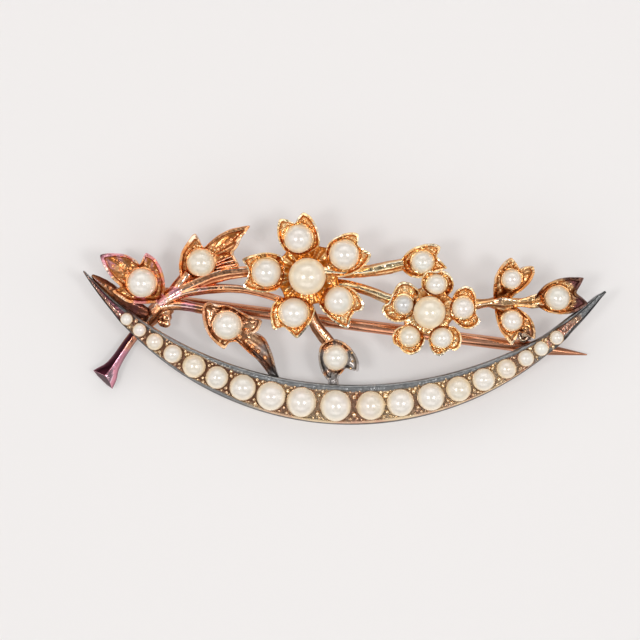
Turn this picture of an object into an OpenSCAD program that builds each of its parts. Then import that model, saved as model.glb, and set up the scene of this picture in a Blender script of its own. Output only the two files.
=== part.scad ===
// Pearl brooch: a gold crescent of graduated pearls that carries a spray of
// pearl-set flowers, buds and leaves, with a hinged pin behind it.
// It is drawn flat, with the back of the crescent at z = 0, x to the right and
// y up the front, and then laid on its back as it rests on a table: on the
// hinge, on the catch and on the lower edge of the crescent. Millimetres.

/* [Crescent] */
// Radius of the outer edge of the crescent
crescent_outer_r = 26.4; // [26.2:0.1:26.6]
// Distance between the centres of its outer and its inner edge
crescent_offset = 9.65; // [9.5:0.05:9.8]
// Width of the crescent at its middle
crescent_w = 3.65; // [3.55:0.05:3.8]
// Thickness of the crescent
crescent_h = 1.9; // [1.7:0.1:2.1]
// Width of the raised rim along both edges
rim_w = 0.3; // [0.2:0.05:0.4]
// Depth of the groove between the rims
groove_depth = 0.35; // [0.2:0.05:0.5]

/* [Spray] */
// Height of the backs of the leaves and buds
leaf_back = 0.4; // [0.3:0.05:0.5]
// Height of the front edges of the leaves and buds
leaf_top = 1.8; // [1.7:0.05:1.9]
// Height by which the petals of the flowers stand above the leaves
petal_lift = 0.35; // [0.2:0.05:0.5]
// Width of metal outside a pearl in its cup
cup_wall = 0.34; // [0.3:0.02:0.4]

/* [Pearls] */
// Gap between a pearl and its seat
seat_gap = 0.03; // [0.02:0.01:0.05]
// Diameter of the heart pearl of the large flower
large_heart_d = 3.2; // [3:0.05:3.3]
// Diameter of the heart pearl of the small flower
small_heart_d = 2.8; // [2.6:0.05:2.85]

/* [Pin and hinge] */
// Diameter of the pin
pin_d = 1.06; // [0.9:0.02:1.1]
// Length of the pin from its rivet to its point
pin_length = 36.8; // [36:0.1:37.2]
// Length of its tapered point
pin_point = 3.8; // [3:0.1:4.5]
// Diameter of the rivet of the hinge
rivet_d = 0.44; // [0.4:0.02:0.5]
// Radial running clearance of the eye of the pin on its rivet
rivet_clearance = 0.03; // [0.02:0.01:0.05]
// Depth of the middle of the pin behind the crescent
pin_depth = 0.62; // [0.58:0.02:0.7]
// Radius of the hinge ears and of the catch
foot_r = 0.7; // [0.66:0.02:0.76]
// Distance from the rivet to the near side of the catch
catch_at = 30.8; // [30.5:0.1:31.1]

/* [Hidden] */
// Centre of the outer edge of the crescent, and the turn of its middle axis
crescent_centre = [0.55, 17.35];
crescent_turn = -2.14;

// Pearls of the crescent from left to right: diameter, gap to the next one
CRESCENT_PEARLS = [
    [1.05, 0.35], [1.15, 0.35], [1.45, 0.35], [1.60, 0.33], [1.98, 0.23],
    [1.95, 0.29], [2.25, 0.19], [2.50, 0.12], [2.60, 0.33], [2.70, 0.43],
    [2.50, 0.16], [2.35, 0.32], [2.35, 0.22], [2.15, 0.25], [1.95, 0.33],
    [1.70, 0.34], [1.40, 0.22], [1.25, 0.38], [1.20, 0],
];
// Angle of the first of them about the centre of the outer edge
first_pearl_angle = 221.4;

// Petals: angle and reach of the pearl from the heart, its diameter,
// then the angles of the two tips of the petal and their reach
LARGE_PETALS = [
    [103.5, 3.25, 2.45, 113.5, 92.5, 4.85],
    [29.5, 3.60, 2.50, 39.5, 17, 5.30],
    [-39.5, 3.45, 2.40, -32, -53.5, 5.40],
    [-110, 3.45, 2.55, -100.5, -121, 5.25],
    [175.5, 3.55, 2.50, 190.5, 168.5, 5.30],
];
SMALL_PETALS = [
    [76.5, 2.45, 1.75, 93, 66, 3.20],
    [6.5, 2.90, 1.90, 29.5, -10, 3.50],
    [-65, 2.50, 1.80, -49.5, -74.5, 3.30],
    [-128.5, 2.75, 1.80, -116.5, -137, 3.45],
    [164.5, 2.30, 1.65, 178, 134.5, 3.25],
];
large_heart = [-3.15, 4.2];
small_heart = [7.3, 1.05];
large_tip_w = 0.3;
small_tip_w = 0.7;

// Cups of the buds, the leaves and the trefoil: x, y, diameter of the pearl
BUD_CUPS = [[6.7, 5.3, 1.95], [-0.75, -3.0, 2.15]];
LEAF_CUPS = [[-17.4, 3.5, 2.5], [-12.3, 5.25, 2.35], [-10.1, -0.2, 2.45]];
TREFOIL_CUPS = [[14.35, 3.85, 1.7], [14.4, 0.2, 1.8], [18.3, 2.2, 2.1]];

// Lobes: x, y and half width where the lobe starts, bends and ends
LEAF_LOBES = [
    [[-17.4, 3.5, 1.3], [-19.2, 4.7, 0.85], [-20.8, 5.7, 0.14]],
    [[-17.2, 3.9, 1.2], [-16.95, 6.0, 0.14]],
    [[-17.6, 3.3, 1.3], [-19.7, 1.7, 0.4]],
    [[-17.0, 3.2, 1.2], [-15.45, 1.95, 0.5]],
    [[-12.3, 5.25, 1.2], [-10.3, 6.85, 0.75], [-8.2, 8.15, 0.12]],
    [[-12.6, 5.45, 1.2], [-12.75, 7.4, 0.18]],
    [[-12.1, 5.1, 1.2], [-9.2, 4.95, 0.15]],
    [[-12.5, 5.0, 1.1], [-13.5, 4.1, 0.6], [-14.6, 2.9, 0.45]],
    [[-10.1, -0.3, 1.2], [-7.8, -2.2, 0.85], [-5.6, -5.0, 0.25]],
    [[-10.2, -0.5, 1.1], [-10.3, -2.15, 0.15]],
    [[-10.0, -0.2, 1.2], [-7.4, -0.2, 0.45]],
    [[-10.3, 0.0, 1.3], [-11.9, 1.1, 0.35]],
];
BUD_LOBES = [
    [[6.7, 5.3, 1.0], [8.15, 6.45, 0.14]],
    [[6.7, 5.2, 1.0], [8.7, 4.8, 0.14]],
    [[-0.75, -3.0, 1.2], [0.4, -2.9, 0.8], [1.1, -4.05, 0.14]],
    [[-0.75, -3.0, 1.1], [-1.0, -5.7, 0.5]],
];
TREFOIL_LOBES = [
    [[14.35, 3.85, 0.95], [14.4, 5.45, 0.14]],
    [[14.35, 3.85, 0.95], [16.0, 4.7, 0.15]],
    [[14.3, 3.7, 0.95], [13.6, 1.9, 0.5]],
    [[14.4, 0.2, 0.95], [14.4, -2.7, 0.16]],
    [[14.4, 0.2, 0.95], [15.4, -0.3, 0.7], [16.6, -1.7, 0.16]],
    [[14.3, 0.3, 0.95], [13.6, 1.6, 0.5]],
    [[18.3, 2.2, 1.2], [19.2, 3.2, 0.6], [20.3, 3.75, 0.14]],
    [[18.3, 2.2, 1.2], [20.3, 1.15, 0.4]],
];

// Flat stems: x, y and half width at each point
STEMS = [
    [[-15.6, 1.75, 0.5], [-13.3, 3.1, 0.6], [-10.7, 4.2, 0.6], [-7.6, 4.5, 0.55]],
    [[-15.8, 1.65, 0.45], [-12.4, 2.85, 0.45], [-9.4, 2.95, 0.35], [-6.9, 2.4, 0.3],
        [-5.0, 1.8, 0.3]],
    [[-15.9, 1.45, 0.5], [-13.5, 1.45, 0.35], [-11.7, 1.05, 0.4]],
    [[-2.6, 4.2, 0.5], [0.8, 4.4, 0.5], [2.9, 4.7, 0.6], [6.0, 5.2, 0.5]],
    [[-2.0, 3.4, 0.4], [0.7, 3.15, 0.4], [2.6, 2.5, 0.42], [5.2, 1.6, 0.5]],
    [[-3.4, 2.6, 0.5], [-2.7, 0.05, 0.55], [-1.9, -1.0, 0.6], [-0.9, -2.4, 0.6]],
    [[9.6, 1.15, 0.5], [12.5, 1.45, 0.42], [13.6, 1.7, 0.5], [15.9, 1.75, 0.45],
        [17.8, 2.1, 0.5]],
];
stem_back = 0.72;
stem_h = 0.96;
// Main stem, from its cut end under the left horn up to the knot of the stems:
// x, y, z and radius at each point
MAIN_STEM = [
    [-20.35, -4.6, 0.6, 1.0], [-18.5, -1.55, -0.3, 0.52], [-17.0, -0.05, -0.15, 0.58],
    [-16.0, 1.2, 0.95, 0.62], [-15.0, 2.2, 1.2, 0.62],
];
// Half width of a petal's arm from the heart
arm_w = 0.7;
// Width of metal outside the heart pearl of a flower
heart_wall = 0.25;

// Fineness of round edges
$fn = 64;

// The hinge: place of the rivet, and the heading of the pin from there
hinge_at = [-15.4, 1.6];
pin_heading = -7.4;
eye_w = pin_d + 0.04;
eye_r = foot_r - 0.08;
ear_w = 0.4;
ear_gap = 0.05;
ear_out = eye_w / 2 + ear_gap + ear_w;
ear_top = 1.1;
rivet_head_r = 0.32;
rivet_head_h = 0.12;
rivet_tail = 0.6;
hole_clearance = 0.03;
pin_tip_r = 0.06;
// The catch: its length along the pin, its wall and its place beside the pin
catch_w = 0.95;
catch_wall = 0.34;
catch_side = 0.75;
catch_lip = 0.1;
catch_post_top = 1.1;

// The three points it rests on: hinge, catch and the lower edge of the crescent
function pin_point_at(along, side, up) = [
    hinge_at[0] + along * cos(pin_heading) - side * sin(pin_heading),
    hinge_at[1] + along * sin(pin_heading) + side * cos(pin_heading),
    up - pin_depth
];
hinge_foot = pin_point_at(0, -ear_out, -foot_r);
catch_foot = pin_point_at(catch_at + catch_w / 2, catch_side, -foot_r);
belly_angle = 265.8;
belly_foot = [
    crescent_centre[0] + crescent_outer_r * cos(belly_angle),
    crescent_centre[1] + crescent_outer_r * sin(belly_angle),
    0
];
table_normal = cross(catch_foot - hinge_foot, hinge_foot - belly_foot) * -1;
table_up = table_normal / norm(table_normal) * sign(table_normal[2]);
rest_tilt = acos(table_up[2]);
rest_axis = [table_up[1], -table_up[0], 0];
rest_lift = 0.0115 - table_up * belly_foot;
// Middle of the brooch as it lies, seen from above
plan_middle = [0.02, -0.15];

crescent_inner_r = crescent_outer_r + crescent_offset - crescent_w;
pearl_count = len(CRESCENT_PEARLS);
// Reach of the blunt horn tips from the middle axis
horn_reach = 22.4;

// Radius of the middle line between the two edges, at an angle about the outer centre
function inner_reach(a) =
    crescent_offset * cos(a - 90 - crescent_turn)
    + sqrt(pow(crescent_inner_r, 2) - pow(crescent_offset * sin(a - 90 - crescent_turn), 2));
function middle_r(a) = (crescent_outer_r + inner_reach(a)) / 2;
function pitch(i) =
    (CRESCENT_PEARLS[i][0] + CRESCENT_PEARLS[i + 1][0]) / 2 + CRESCENT_PEARLS[i][1];
function turn_to_next(i, a) = i < pearl_count - 1 ? pitch(i) / middle_r(a) * 180 / PI : 0;
pearl_angles = [
    for (i = 0, a = first_pearl_angle; i < pearl_count; a = a + turn_to_next(i, a), i = i + 1) a
];

// A pearl is [x, y, z of its middle, diameter]
crescent_pearls = [
    for (i = [0 : pearl_count - 1])
        let (a = pearl_angles[i], r = middle_r(a))
        [crescent_centre[0] + r * cos(a), crescent_centre[1] + r * sin(a),
            crescent_h + 0.05, CRESCENT_PEARLS[i][0]]
];
function flower_pearls(heart, heart_d, heart_z, petals) = concat(
    [[heart[0], heart[1], heart_z, heart_d]],
    [for (p = petals)
        [heart[0] + p[1] * cos(p[0]), heart[1] + p[1] * sin(p[0]),
            leaf_top + petal_lift + 0.1, p[2]]]
);
large_pearls = flower_pearls(large_heart, large_heart_d, 2.85, LARGE_PETALS);
small_pearls = flower_pearls(small_heart, small_heart_d, 2.6, SMALL_PETALS);
function cup_pearls(cups) = [for (c = cups) [c[0], c[1], leaf_top + 0.1, c[2]]];
bud_pearls = cup_pearls(BUD_CUPS);
leaf_pearls = cup_pearls(LEAF_CUPS);
trefoil_pearls = cup_pearls(TREFOIL_CUPS);
set_pearls = concat(crescent_pearls, large_pearls, small_pearls,
    bud_pearls, leaf_pearls, trefoil_pearls);

// Lays the flat brooch on the table, middle at the origin
module at_rest() {
    translate([-plan_middle[0], -plan_middle[1], rest_lift])
        rotate(a = rest_tilt, v = rest_axis)
            children();
}

// Places its children on the pin: x along it, y along the rivet, z up
module at_hinge() {
    translate([hinge_at[0], hinge_at[1], -pin_depth])
        rotate(pin_heading)
            children();
}

// A round rod through points of x, y, z and radius
function spot(row) = [row[0], row[1], row[2]];
module rod(route) {
    for (i = [0 : len(route) - 2]) {
        run = spot(route[i + 1]) - spot(route[i]);
        translate(spot(route[i]))
            rotate([0, acos(run[2] / norm(run)), atan2(run[1], run[0])])
                cylinder(h = norm(run), r1 = route[i][3], r2 = route[i + 1][3]);
    }
    for (i = [1 : len(route) - 1])
        translate(spot(route[i]))
            sphere(r = route[i][3] * 1.04);
}

// Outline of a blade through rows of x, y and half width
function way(rows, i) =
    let (a = rows[max(i - 1, 0)], b = rows[min(i + 1, len(rows) - 1)])
    [b[0] - a[0], b[1] - a[1]] / norm([b[0] - a[0], b[1] - a[1]]);
function edge_point(rows, i, side) =
    [rows[i][0], rows[i][1]] + side * rows[i][2] * [-way(rows, i)[1], way(rows, i)[0]];
module blade(rows) {
    count = len(rows);
    polygon(concat(
        [for (i = [0 : count - 1]) edge_point(rows, i, 1)],
        [for (i = [count - 1 : -1 : 0]) edge_point(rows, i, -1)]
    ));
}

// Leaves or buds: round cups and pointed lobes, cut from one thickness
module foliage(cups, lobes) {
    translate([0, 0, leaf_back])
        linear_extrude(leaf_top - leaf_back)
            union() {
                for (c = cups)
                    translate([c[0], c[1]])
                        circle(c[2] / 2 + cup_wall);
                for (rows = lobes)
                    blade(rows);
            }
}

// The crescent seen from the front, narrowed by an inset on both edges
module lune(inset) {
    translate(crescent_centre)
        rotate(crescent_turn)
            intersection() {
                difference() {
                    circle(crescent_outer_r - inset);
                    translate([0, crescent_offset])
                        circle(crescent_inner_r + inset);
                }
                translate([-horn_reach, -crescent_outer_r])
                    square([2 * horn_reach, crescent_outer_r]);
            }
}

module crescent() {
    difference() {
        linear_extrude(crescent_h)
            lune(0);
        translate([0, 0, crescent_h - groove_depth])
            linear_extrude(groove_depth + 1)
                lune(rim_w);
    }
}

// A flower: a raised heart and petals with two tips each
module flower(heart, heart_d, petals, tip_w) {
    top = leaf_top + petal_lift;
    translate([heart[0], heart[1], leaf_back])
        cylinder(h = top - leaf_back - 0.1, r = heart_d / 2 + heart_wall);
    translate([0, 0, leaf_back + petal_lift])
        linear_extrude(top - leaf_back - petal_lift)
            union()
                for (p = petals) {
                    cup = heart + p[1] * [cos(p[0]), sin(p[0])];
                    translate(cup)
                        circle(p[2] / 2 + cup_wall);
                    blade([[heart[0], heart[1], arm_w], [cup[0], cup[1], arm_w]]);
                    for (a = [p[3], p[4]]) {
                        tip = heart + p[5] * [cos(a), sin(a)];
                        blade([[cup[0], cup[1], p[2] / 2], [tip[0], tip[1], tip_w]]);
                    }
                }
}

module stems() {
    translate([0, 0, stem_back])
        linear_extrude(stem_h)
            union()
                for (rows = STEMS)
                    blade(rows);
    rod(MAIN_STEM);
}

// Two ears that carry the rivet, soldered under the knot of the stems
module hinge_ears() {
    at_hinge()
        for (side = [-1, 1])
            difference() {
                union() {
                    translate([0, side * (ear_out - ear_w / 2), 0])
                        rotate([90, 0, 0])
                            cylinder(h = ear_w, r = foot_r, center = true);
                    translate([0, side * (ear_out - ear_w / 2), (ear_top + pin_depth) / 2])
                        cube([1.4 * foot_r, ear_w, ear_top + pin_depth], center = true);
                }
                rotate([90, 0, 0])
                    cylinder(h = 4, r = rivet_d / 2 + hole_clearance, center = true);
            }
}

// A hook open on the side of the pin, on a post under the trefoil
module catch_hook() {
    at_hinge()
        translate([catch_at, catch_side, 0])
            rotate([90, 0, 90])
                linear_extrude(catch_w)
                    union() {
                        difference() {
                            circle(foot_r);
                            circle(foot_r - catch_wall);
                            translate([-2 * foot_r - catch_lip, -foot_r])
                                square([2 * foot_r, 2 * foot_r]);
                        }
                        translate([foot_r - catch_wall - 0.1, 0])
                            square([catch_wall + 0.1, pin_depth + catch_post_top]);
                    }
}

// Round seats for all the pearls
module seats() {
    for (p = set_pearls)
        translate([p[0], p[1], p[2]])
            sphere(d = p[3] + 2 * seat_gap);
}

module gold_mount() {
    color("goldenrod")
        at_rest()
            difference() {
                union() {
                    crescent();
                    flower(large_heart, large_heart_d, LARGE_PETALS, large_tip_w);
                    flower(small_heart, small_heart_d, SMALL_PETALS, small_tip_w);
                    foliage(BUD_CUPS, BUD_LOBES);
                    foliage(LEAF_CUPS, LEAF_LOBES);
                    foliage(TREFOIL_CUPS, TREFOIL_LOBES);
                    stems();
                    hinge_ears();
                    catch_hook();
                }
                seats();
            }
}

module pearl(p) {
    color("oldlace")
        at_rest()
            translate([p[0], p[1], p[2]])
                sphere(d = p[3]);
}

// The rivet, with its head above and a plain tail below
module hinge_rivet() {
    color("peru")
        at_rest()
            at_hinge()
                rotate([90, 0, 0]) {
                    translate([0, 0, -ear_out - rivet_head_h])
                        cylinder(h = 2 * ear_out + rivet_head_h + rivet_tail, d = rivet_d);
                    translate([0, 0, -ear_out - rivet_head_h])
                        cylinder(h = rivet_head_h - 0.02, r = rivet_head_r);
                }
}

// The pin: an eye on the rivet, the straight wire and its tapered point
module pin_stem() {
    color("sienna")
        at_rest()
            at_hinge()
                difference() {
                    union() {
                        rotate([90, 0, 0])
                            cylinder(h = eye_w, r = eye_r, center = true);
                        rotate([0, 90, 0])
                            cylinder(h = pin_length - pin_point, d = pin_d);
                        translate([pin_length - pin_point, 0, 0])
                            rotate([0, 90, 0])
                                cylinder(h = pin_point, r1 = pin_d / 2, r2 = pin_tip_r);
                    }
                    rotate([90, 0, 0])
                        cylinder(h = 4, r = rivet_d / 2 + rivet_clearance, center = true);
                }
}

gold_mount();
hinge_rivet();
pin_stem();
for (i = [1 : pearl_count])
    pearl(crescent_pearls[i - 1]);
for (i = [0 : len(LARGE_PETALS)])
    pearl(large_pearls[i]);
for (i = [0 : len(SMALL_PETALS)])
    pearl(small_pearls[i]);
for (i = [1 : len(BUD_CUPS)])
    pearl(bud_pearls[i - 1]);
for (i = [1 : len(LEAF_CUPS)])
    pearl(leaf_pearls[i - 1]);
for (i = [1 : len(TREFOIL_CUPS)])
    pearl(trefoil_pearls[i - 1]);
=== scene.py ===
import math
import random

import bmesh
import bpy
from mathutils import Matrix, Vector


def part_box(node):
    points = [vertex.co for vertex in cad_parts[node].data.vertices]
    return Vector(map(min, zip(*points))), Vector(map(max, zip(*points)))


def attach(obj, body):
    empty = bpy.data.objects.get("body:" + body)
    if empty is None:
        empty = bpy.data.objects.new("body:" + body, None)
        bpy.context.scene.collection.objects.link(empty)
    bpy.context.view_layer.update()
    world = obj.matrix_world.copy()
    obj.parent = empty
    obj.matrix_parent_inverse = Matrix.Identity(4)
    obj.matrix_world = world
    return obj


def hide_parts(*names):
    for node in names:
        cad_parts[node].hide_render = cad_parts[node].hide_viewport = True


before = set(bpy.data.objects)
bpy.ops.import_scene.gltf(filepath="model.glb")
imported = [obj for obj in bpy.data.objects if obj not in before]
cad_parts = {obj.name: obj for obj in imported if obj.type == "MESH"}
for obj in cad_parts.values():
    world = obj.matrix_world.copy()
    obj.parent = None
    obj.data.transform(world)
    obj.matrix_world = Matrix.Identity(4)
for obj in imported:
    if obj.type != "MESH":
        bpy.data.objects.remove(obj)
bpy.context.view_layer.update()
print("frame loaded")

mm = 0.001
random.seed(7)

# Every metal piece is shaped flat, back down, and then laid on the table as the brooch rests
brooch = {
    "tilt": 8.80029,  # degrees, crescent side down
    "axis": (0.152581, -0.0111977, 0.0),
    "middle": (0.02, -0.15),
    "lift": 1.39703,
}
layDown = Matrix.Translation(
    (-brooch["middle"][0] * mm, -brooch["middle"][1] * mm, brooch["lift"] * mm)
) @ Matrix.Rotation(math.radians(brooch["tilt"]), 4, Vector(brooch["axis"]))


# camera, floor and light

studio = {
    "viewCentre": (-2.13, 0.14),  # mm, what the middle of the picture looks at
    "viewHeight": 233.0,  # mm above the table
    "viewWidth": 55.04,  # mm across the picture, at the height of the brooch
    "focusHeight": 3.2,
    "floorColour": (0.52, 0.505, 0.50),
    "floorShade": 0.985,  # of that colour, in its darkest places
    "floorGlow": 0.58,
    # each lamp's degrees from straight up towards +X and +Y, distance and size in m, and watts
    "softboxes": {
        "keyLeft": ((-24, -5), 0.6, (0.125, 0.14), 0.8),
        "keyRight": ((24, -5), 0.6, (0.125, 0.14), 0.8),
        "fillTop": ((0, 52), 0.8, (0.9, 0.35), 1.15),
        "fillBottom": ((0, -58), 0.8, (0.9, 0.3), 0.8),
        "fillLeft": ((-66, 8), 0.8, (0.4, 0.8), 0.55),
        "fillRight": ((66, -8), 0.8, (0.4, 0.8), 0.55),
    },
}

bpy.context.scene.view_settings.view_transform = "Standard"
bpy.context.scene.view_settings.look = "None"


def clearSelection():
    active = bpy.context.view_layer.objects.active
    if active and active.mode != "OBJECT":
        bpy.ops.object.mode_set(mode="OBJECT")
    bpy.ops.object.select_all(action="DESELECT")


def addCamera():
    clearSelection()
    x, y = studio["viewCentre"]
    height = studio["viewHeight"]
    bpy.ops.object.camera_add(location=(x * mm, y * mm, height * mm), rotation=(0, 0, 0))
    camera = bpy.context.object
    camera.data.sensor_fit = "HORIZONTAL"
    camera.data.angle = 2 * math.atan(studio["viewWidth"] / 2 / (height - studio["focusHeight"]))
    camera.data.clip_start = 0.01
    camera.data.clip_end = 5
    bpy.context.scene.camera = camera


def addSoftbox(name, direction, distance, size, power):
    clearSelection()
    aside, forward = (math.radians(a) for a in direction)
    way = Vector((math.tan(aside), math.tan(forward), 1)).normalized()
    bpy.ops.object.light_add(type="AREA", location=way * distance)
    lamp = bpy.context.object
    lamp.name = name
    lamp.rotation_euler = way.to_track_quat("Z", "Y").to_euler()
    lamp.data.shape = "RECTANGLE"
    lamp.data.size, lamp.data.size_y = size
    lamp.data.energy = power


addCamera()
for name, spec in studio["softboxes"].items():
    addSoftbox(name, *spec)
print("camera and lights set")


# shader kit


class Wire:
    # one output socket, or a chain of maths that ends in one
    def __init__(self, board, socket):
        self.board = board
        self.socket = socket

    def maths(self, operation, other):
        return self.board.add("ShaderNodeMath", {"operation": operation}, {0: self, 1: other})

    def __add__(self, other):
        return self.maths("ADD", other)

    def __sub__(self, other):
        return self.maths("SUBTRACT", other)

    def __mul__(self, other):
        return self.maths("MULTIPLY", other)

    __radd__ = __add__


class Board:
    # the node tree of one material
    def __init__(self, material):
        self.material = material
        material.use_nodes = True
        self.tree = material.node_tree
        self.tree.nodes.clear()

    def add(self, kind, settings=None, inputs=None, output=0):
        node = self.tree.nodes.new(kind)
        for name, value in (settings or {}).items():
            setattr(node, name, value)
        for name, value in (inputs or {}).items():
            if isinstance(value, Wire):
                self.tree.links.new(value.socket, node.inputs[name])
            else:
                node.inputs[name].default_value = value
        if node.outputs:
            return Wire(self, node.outputs[output])

    def place(self):
        return self.add("ShaderNodeTexCoord", output=3)  # on the object

    def step(self, value, low, high):
        return self.add(
            "ShaderNodeMapRange", {"interpolation_type": "SMOOTHSTEP"},
            {"Value": value, "From Min": low, "From Max": high},
        )

    def mix(self, amount, first, second):
        return self.add(
            "ShaderNodeMix", {"data_type": "RGBA", "clamp_factor": True},
            {0: amount, 6: first, 7: second}, 2,
        )

    def noise(self, place, scale, detail=3.0, roughness=0.55):
        return self.add(
            "ShaderNodeTexNoise", {},
            {"Vector": place, "Scale": scale, "Detail": detail, "Roughness": roughness},
        )

    def bump(self, height, strength, distance):
        return self.add(
            "ShaderNodeBump", {}, {"Strength": strength, "Distance": distance, "Height": height}
        )

    def layer(self, name):
        return self.add("ShaderNodeAttribute", {"attribute_name": name}, output=2)

    def finish(self, sockets):
        shader = self.add("ShaderNodeBsdfPrincipled", {}, sockets)
        self.add("ShaderNodeOutputMaterial", {}, {"Surface": shader})
        return self.material


def solid(colour, share=1.0):
    return tuple(c * share for c in colour) + (1.0,)


def floorFinish():
    board = Board(bpy.data.materials.new("tableFinish"))
    paper = studio["floorColour"]
    drift = board.noise(board.place(), 9.0, 2.0)
    return board.finish({
        "Base Color": board.mix(drift, solid(paper, studio["floorShade"]), solid(paper)),
        "Roughness": 0.85, "Specular IOR Level": 0.15,
        "Emission Color": solid(paper), "Emission Strength": studio["floorGlow"],
    })


def addFloor():
    clearSelection()
    bpy.ops.mesh.primitive_plane_add(size=3.0, location=(0, 0, -0.00001))
    table = bpy.context.object
    table.name = "table"
    table.data.materials.append(floorFinish())


addFloor()

air = {
    "strength": 0.60,
    "wall": (0.97, 0.985, 1.0), "gap": (0.11, 0.10, 0.10), "lamp": (2.6, 2.5, 2.35),
    # heights in the sky, 1 is straight above, between which it darkens, and how much
    "top": (0.9, 1.0, 0.75), "low": (0.32, 0.08, 0.7),
    # noise scale of the windows, where in the noise their edges lie, and how dark the gaps are
    "windows": (2.3, 0.54, 0.45, 0.85),
    "lamps": (5.0, 0.62, 0.68),  # the same for the small lamps, which are between these heights
    "lampHeights": ((0.84, 0.74), (0.12, 0.2)),
}


def addAir():
    # a white room, darker straight above where the camera stands, and low down at the walls
    world = bpy.data.worlds.new("studioAir")
    bpy.context.scene.world = world
    board = Board(world)
    way = board.add("ShaderNodeTexCoord")
    height = board.add("ShaderNodeSeparateXYZ", None, {0: way}, 2)
    share = board.step(height, *air["top"][:2]) * air["top"][2]
    share = share + board.step(height, *air["low"][:2]) * air["low"][2]
    # large windows and gaps between them, which the metal mirrors
    scale, low, high, dark = air["windows"]
    share = share + board.step(board.noise(way, scale, 1.0), low, high) * dark
    colour = board.mix(share, solid(air["wall"]), solid(air["gap"]))
    # a few small bright lamps low in the room give the cut edges their sparkle
    scale, low, high = air["lamps"]
    lamps = board.step(board.noise(way, scale, 0.0), low, high)
    for heights in air["lampHeights"]:
        lamps = lamps * board.step(height, *heights)
    colour = board.mix(lamps, colour, solid(air["lamp"]))
    glow = board.add("ShaderNodeBackground", None, {"Color": colour, "Strength": air["strength"]})
    board.add("ShaderNodeOutputWorld", None, {"Surface": glow})


addAir()


# finishes

# light is the polished gold and dark the colour of the painted shade in its hollows, rose tints it in
# patches, film is its tarnish and blush the pink that heat left on it, pale the painted highlight on ridges
metalColumns = ("light", "rose", "dark", "film", "blush", "pale", "filmShare", "gloss", "hammer")
metals = {
    "flowerGold": (
        (1.0, 0.78, 0.46), (0.98, 0.63, 0.31), (0.52, 0.155, 0.022), (0.3, 0.17, 0.08),
        (0.98, 0.62, 0.4), (1.0, 0.93, 0.74), 0.5, 0.13, 0.4,
    ),
    "heartGold": (
        (1.0, 0.68, 0.33), (0.98, 0.5, 0.18), (0.44, 0.12, 0.014), (0.3, 0.14, 0.06),
        (0.98, 0.55, 0.3), (1.0, 0.84, 0.55), 0.5, 0.16, 0.5,
    ),
    "paleGold": (
        (1.0, 0.785, 0.47), (0.96, 0.64, 0.33), (0.48, 0.165, 0.032), (0.3, 0.19, 0.1),
        (0.98, 0.62, 0.4), (1.0, 0.93, 0.74), 0.5, 0.15, 0.45,
    ),
    "amberGold": (
        (1.0, 0.66, 0.35), (0.92, 0.47, 0.2), (0.33, 0.12, 0.03), (0.13, 0.05, 0.055),
        (0.92, 0.42, 0.4), (1.0, 0.84, 0.64), 0.9, 0.14, 0.35,
    ),
    "leafGold": (
        (0.98, 0.53, 0.26), (0.88, 0.37, 0.16), (0.34, 0.115, 0.03), (0.13, 0.05, 0.055),
        (0.95, 0.44, 0.5), (1.0, 0.8, 0.62), 0.9, 0.14, 0.35,
    ),
    "greyedGold": (
        (0.92, 0.57, 0.34), (0.78, 0.38, 0.22), (0.19, 0.066, 0.026), (0.42, 0.395, 0.385),
        (0.6, 0.42, 0.46), (0.96, 0.82, 0.7), 0.95, 0.16, 0.45,
    ),
    "stemGold": (
        (0.97, 0.51, 0.27), (0.85, 0.31, 0.15), (0.24, 0.055, 0.018), (0.2, 0.07, 0.08),
        (0.96, 0.46, 0.54), (1.0, 0.8, 0.66), 0.7, 0.12, 0.2,
    ),
    "crescentGold": (
        (0.92, 0.72, 0.46), (0.82, 0.54, 0.36), (0.165, 0.08, 0.048), (0.265, 0.268, 0.27),
        (0.74, 0.38, 0.28), (0.98, 0.86, 0.66), 1.0, 0.16, 0.42,
    ),
    "pinGold": (
        (0.88, 0.45, 0.28), (0.76, 0.33, 0.19), (0.42, 0.15, 0.08), (0.34, 0.14, 0.1),
        (0.8, 0.4, 0.36), (0.98, 0.66, 0.48), 0.3, 0.2, 0.04,
    ),
    "endGold": (
        (0.94, 0.44, 0.26), (0.8, 0.28, 0.2), (0.066, 0.013, 0.024), (0.12, 0.03, 0.06),
        (0.78, 0.33, 0.42), (1.0, 0.74, 0.86), 0.9, 0.14, 0.06,
    ),
}

grime = {
    "broad": (420.0, 3.0, 0.55),  # scale, detail and roughness of the patches
    "fine": (2600.0, 4.0, 0.65),  # and of the specks
    "facet": 3400.0,  # scale of the hammered marks
    "plum": (0.085, 0.028, 0.042),
    "point": (0.0155, 0.0185),  # m along X, where the pin's point goes brown
    "pointColour": (0.34, 0.15, 0.085),
}


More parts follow.
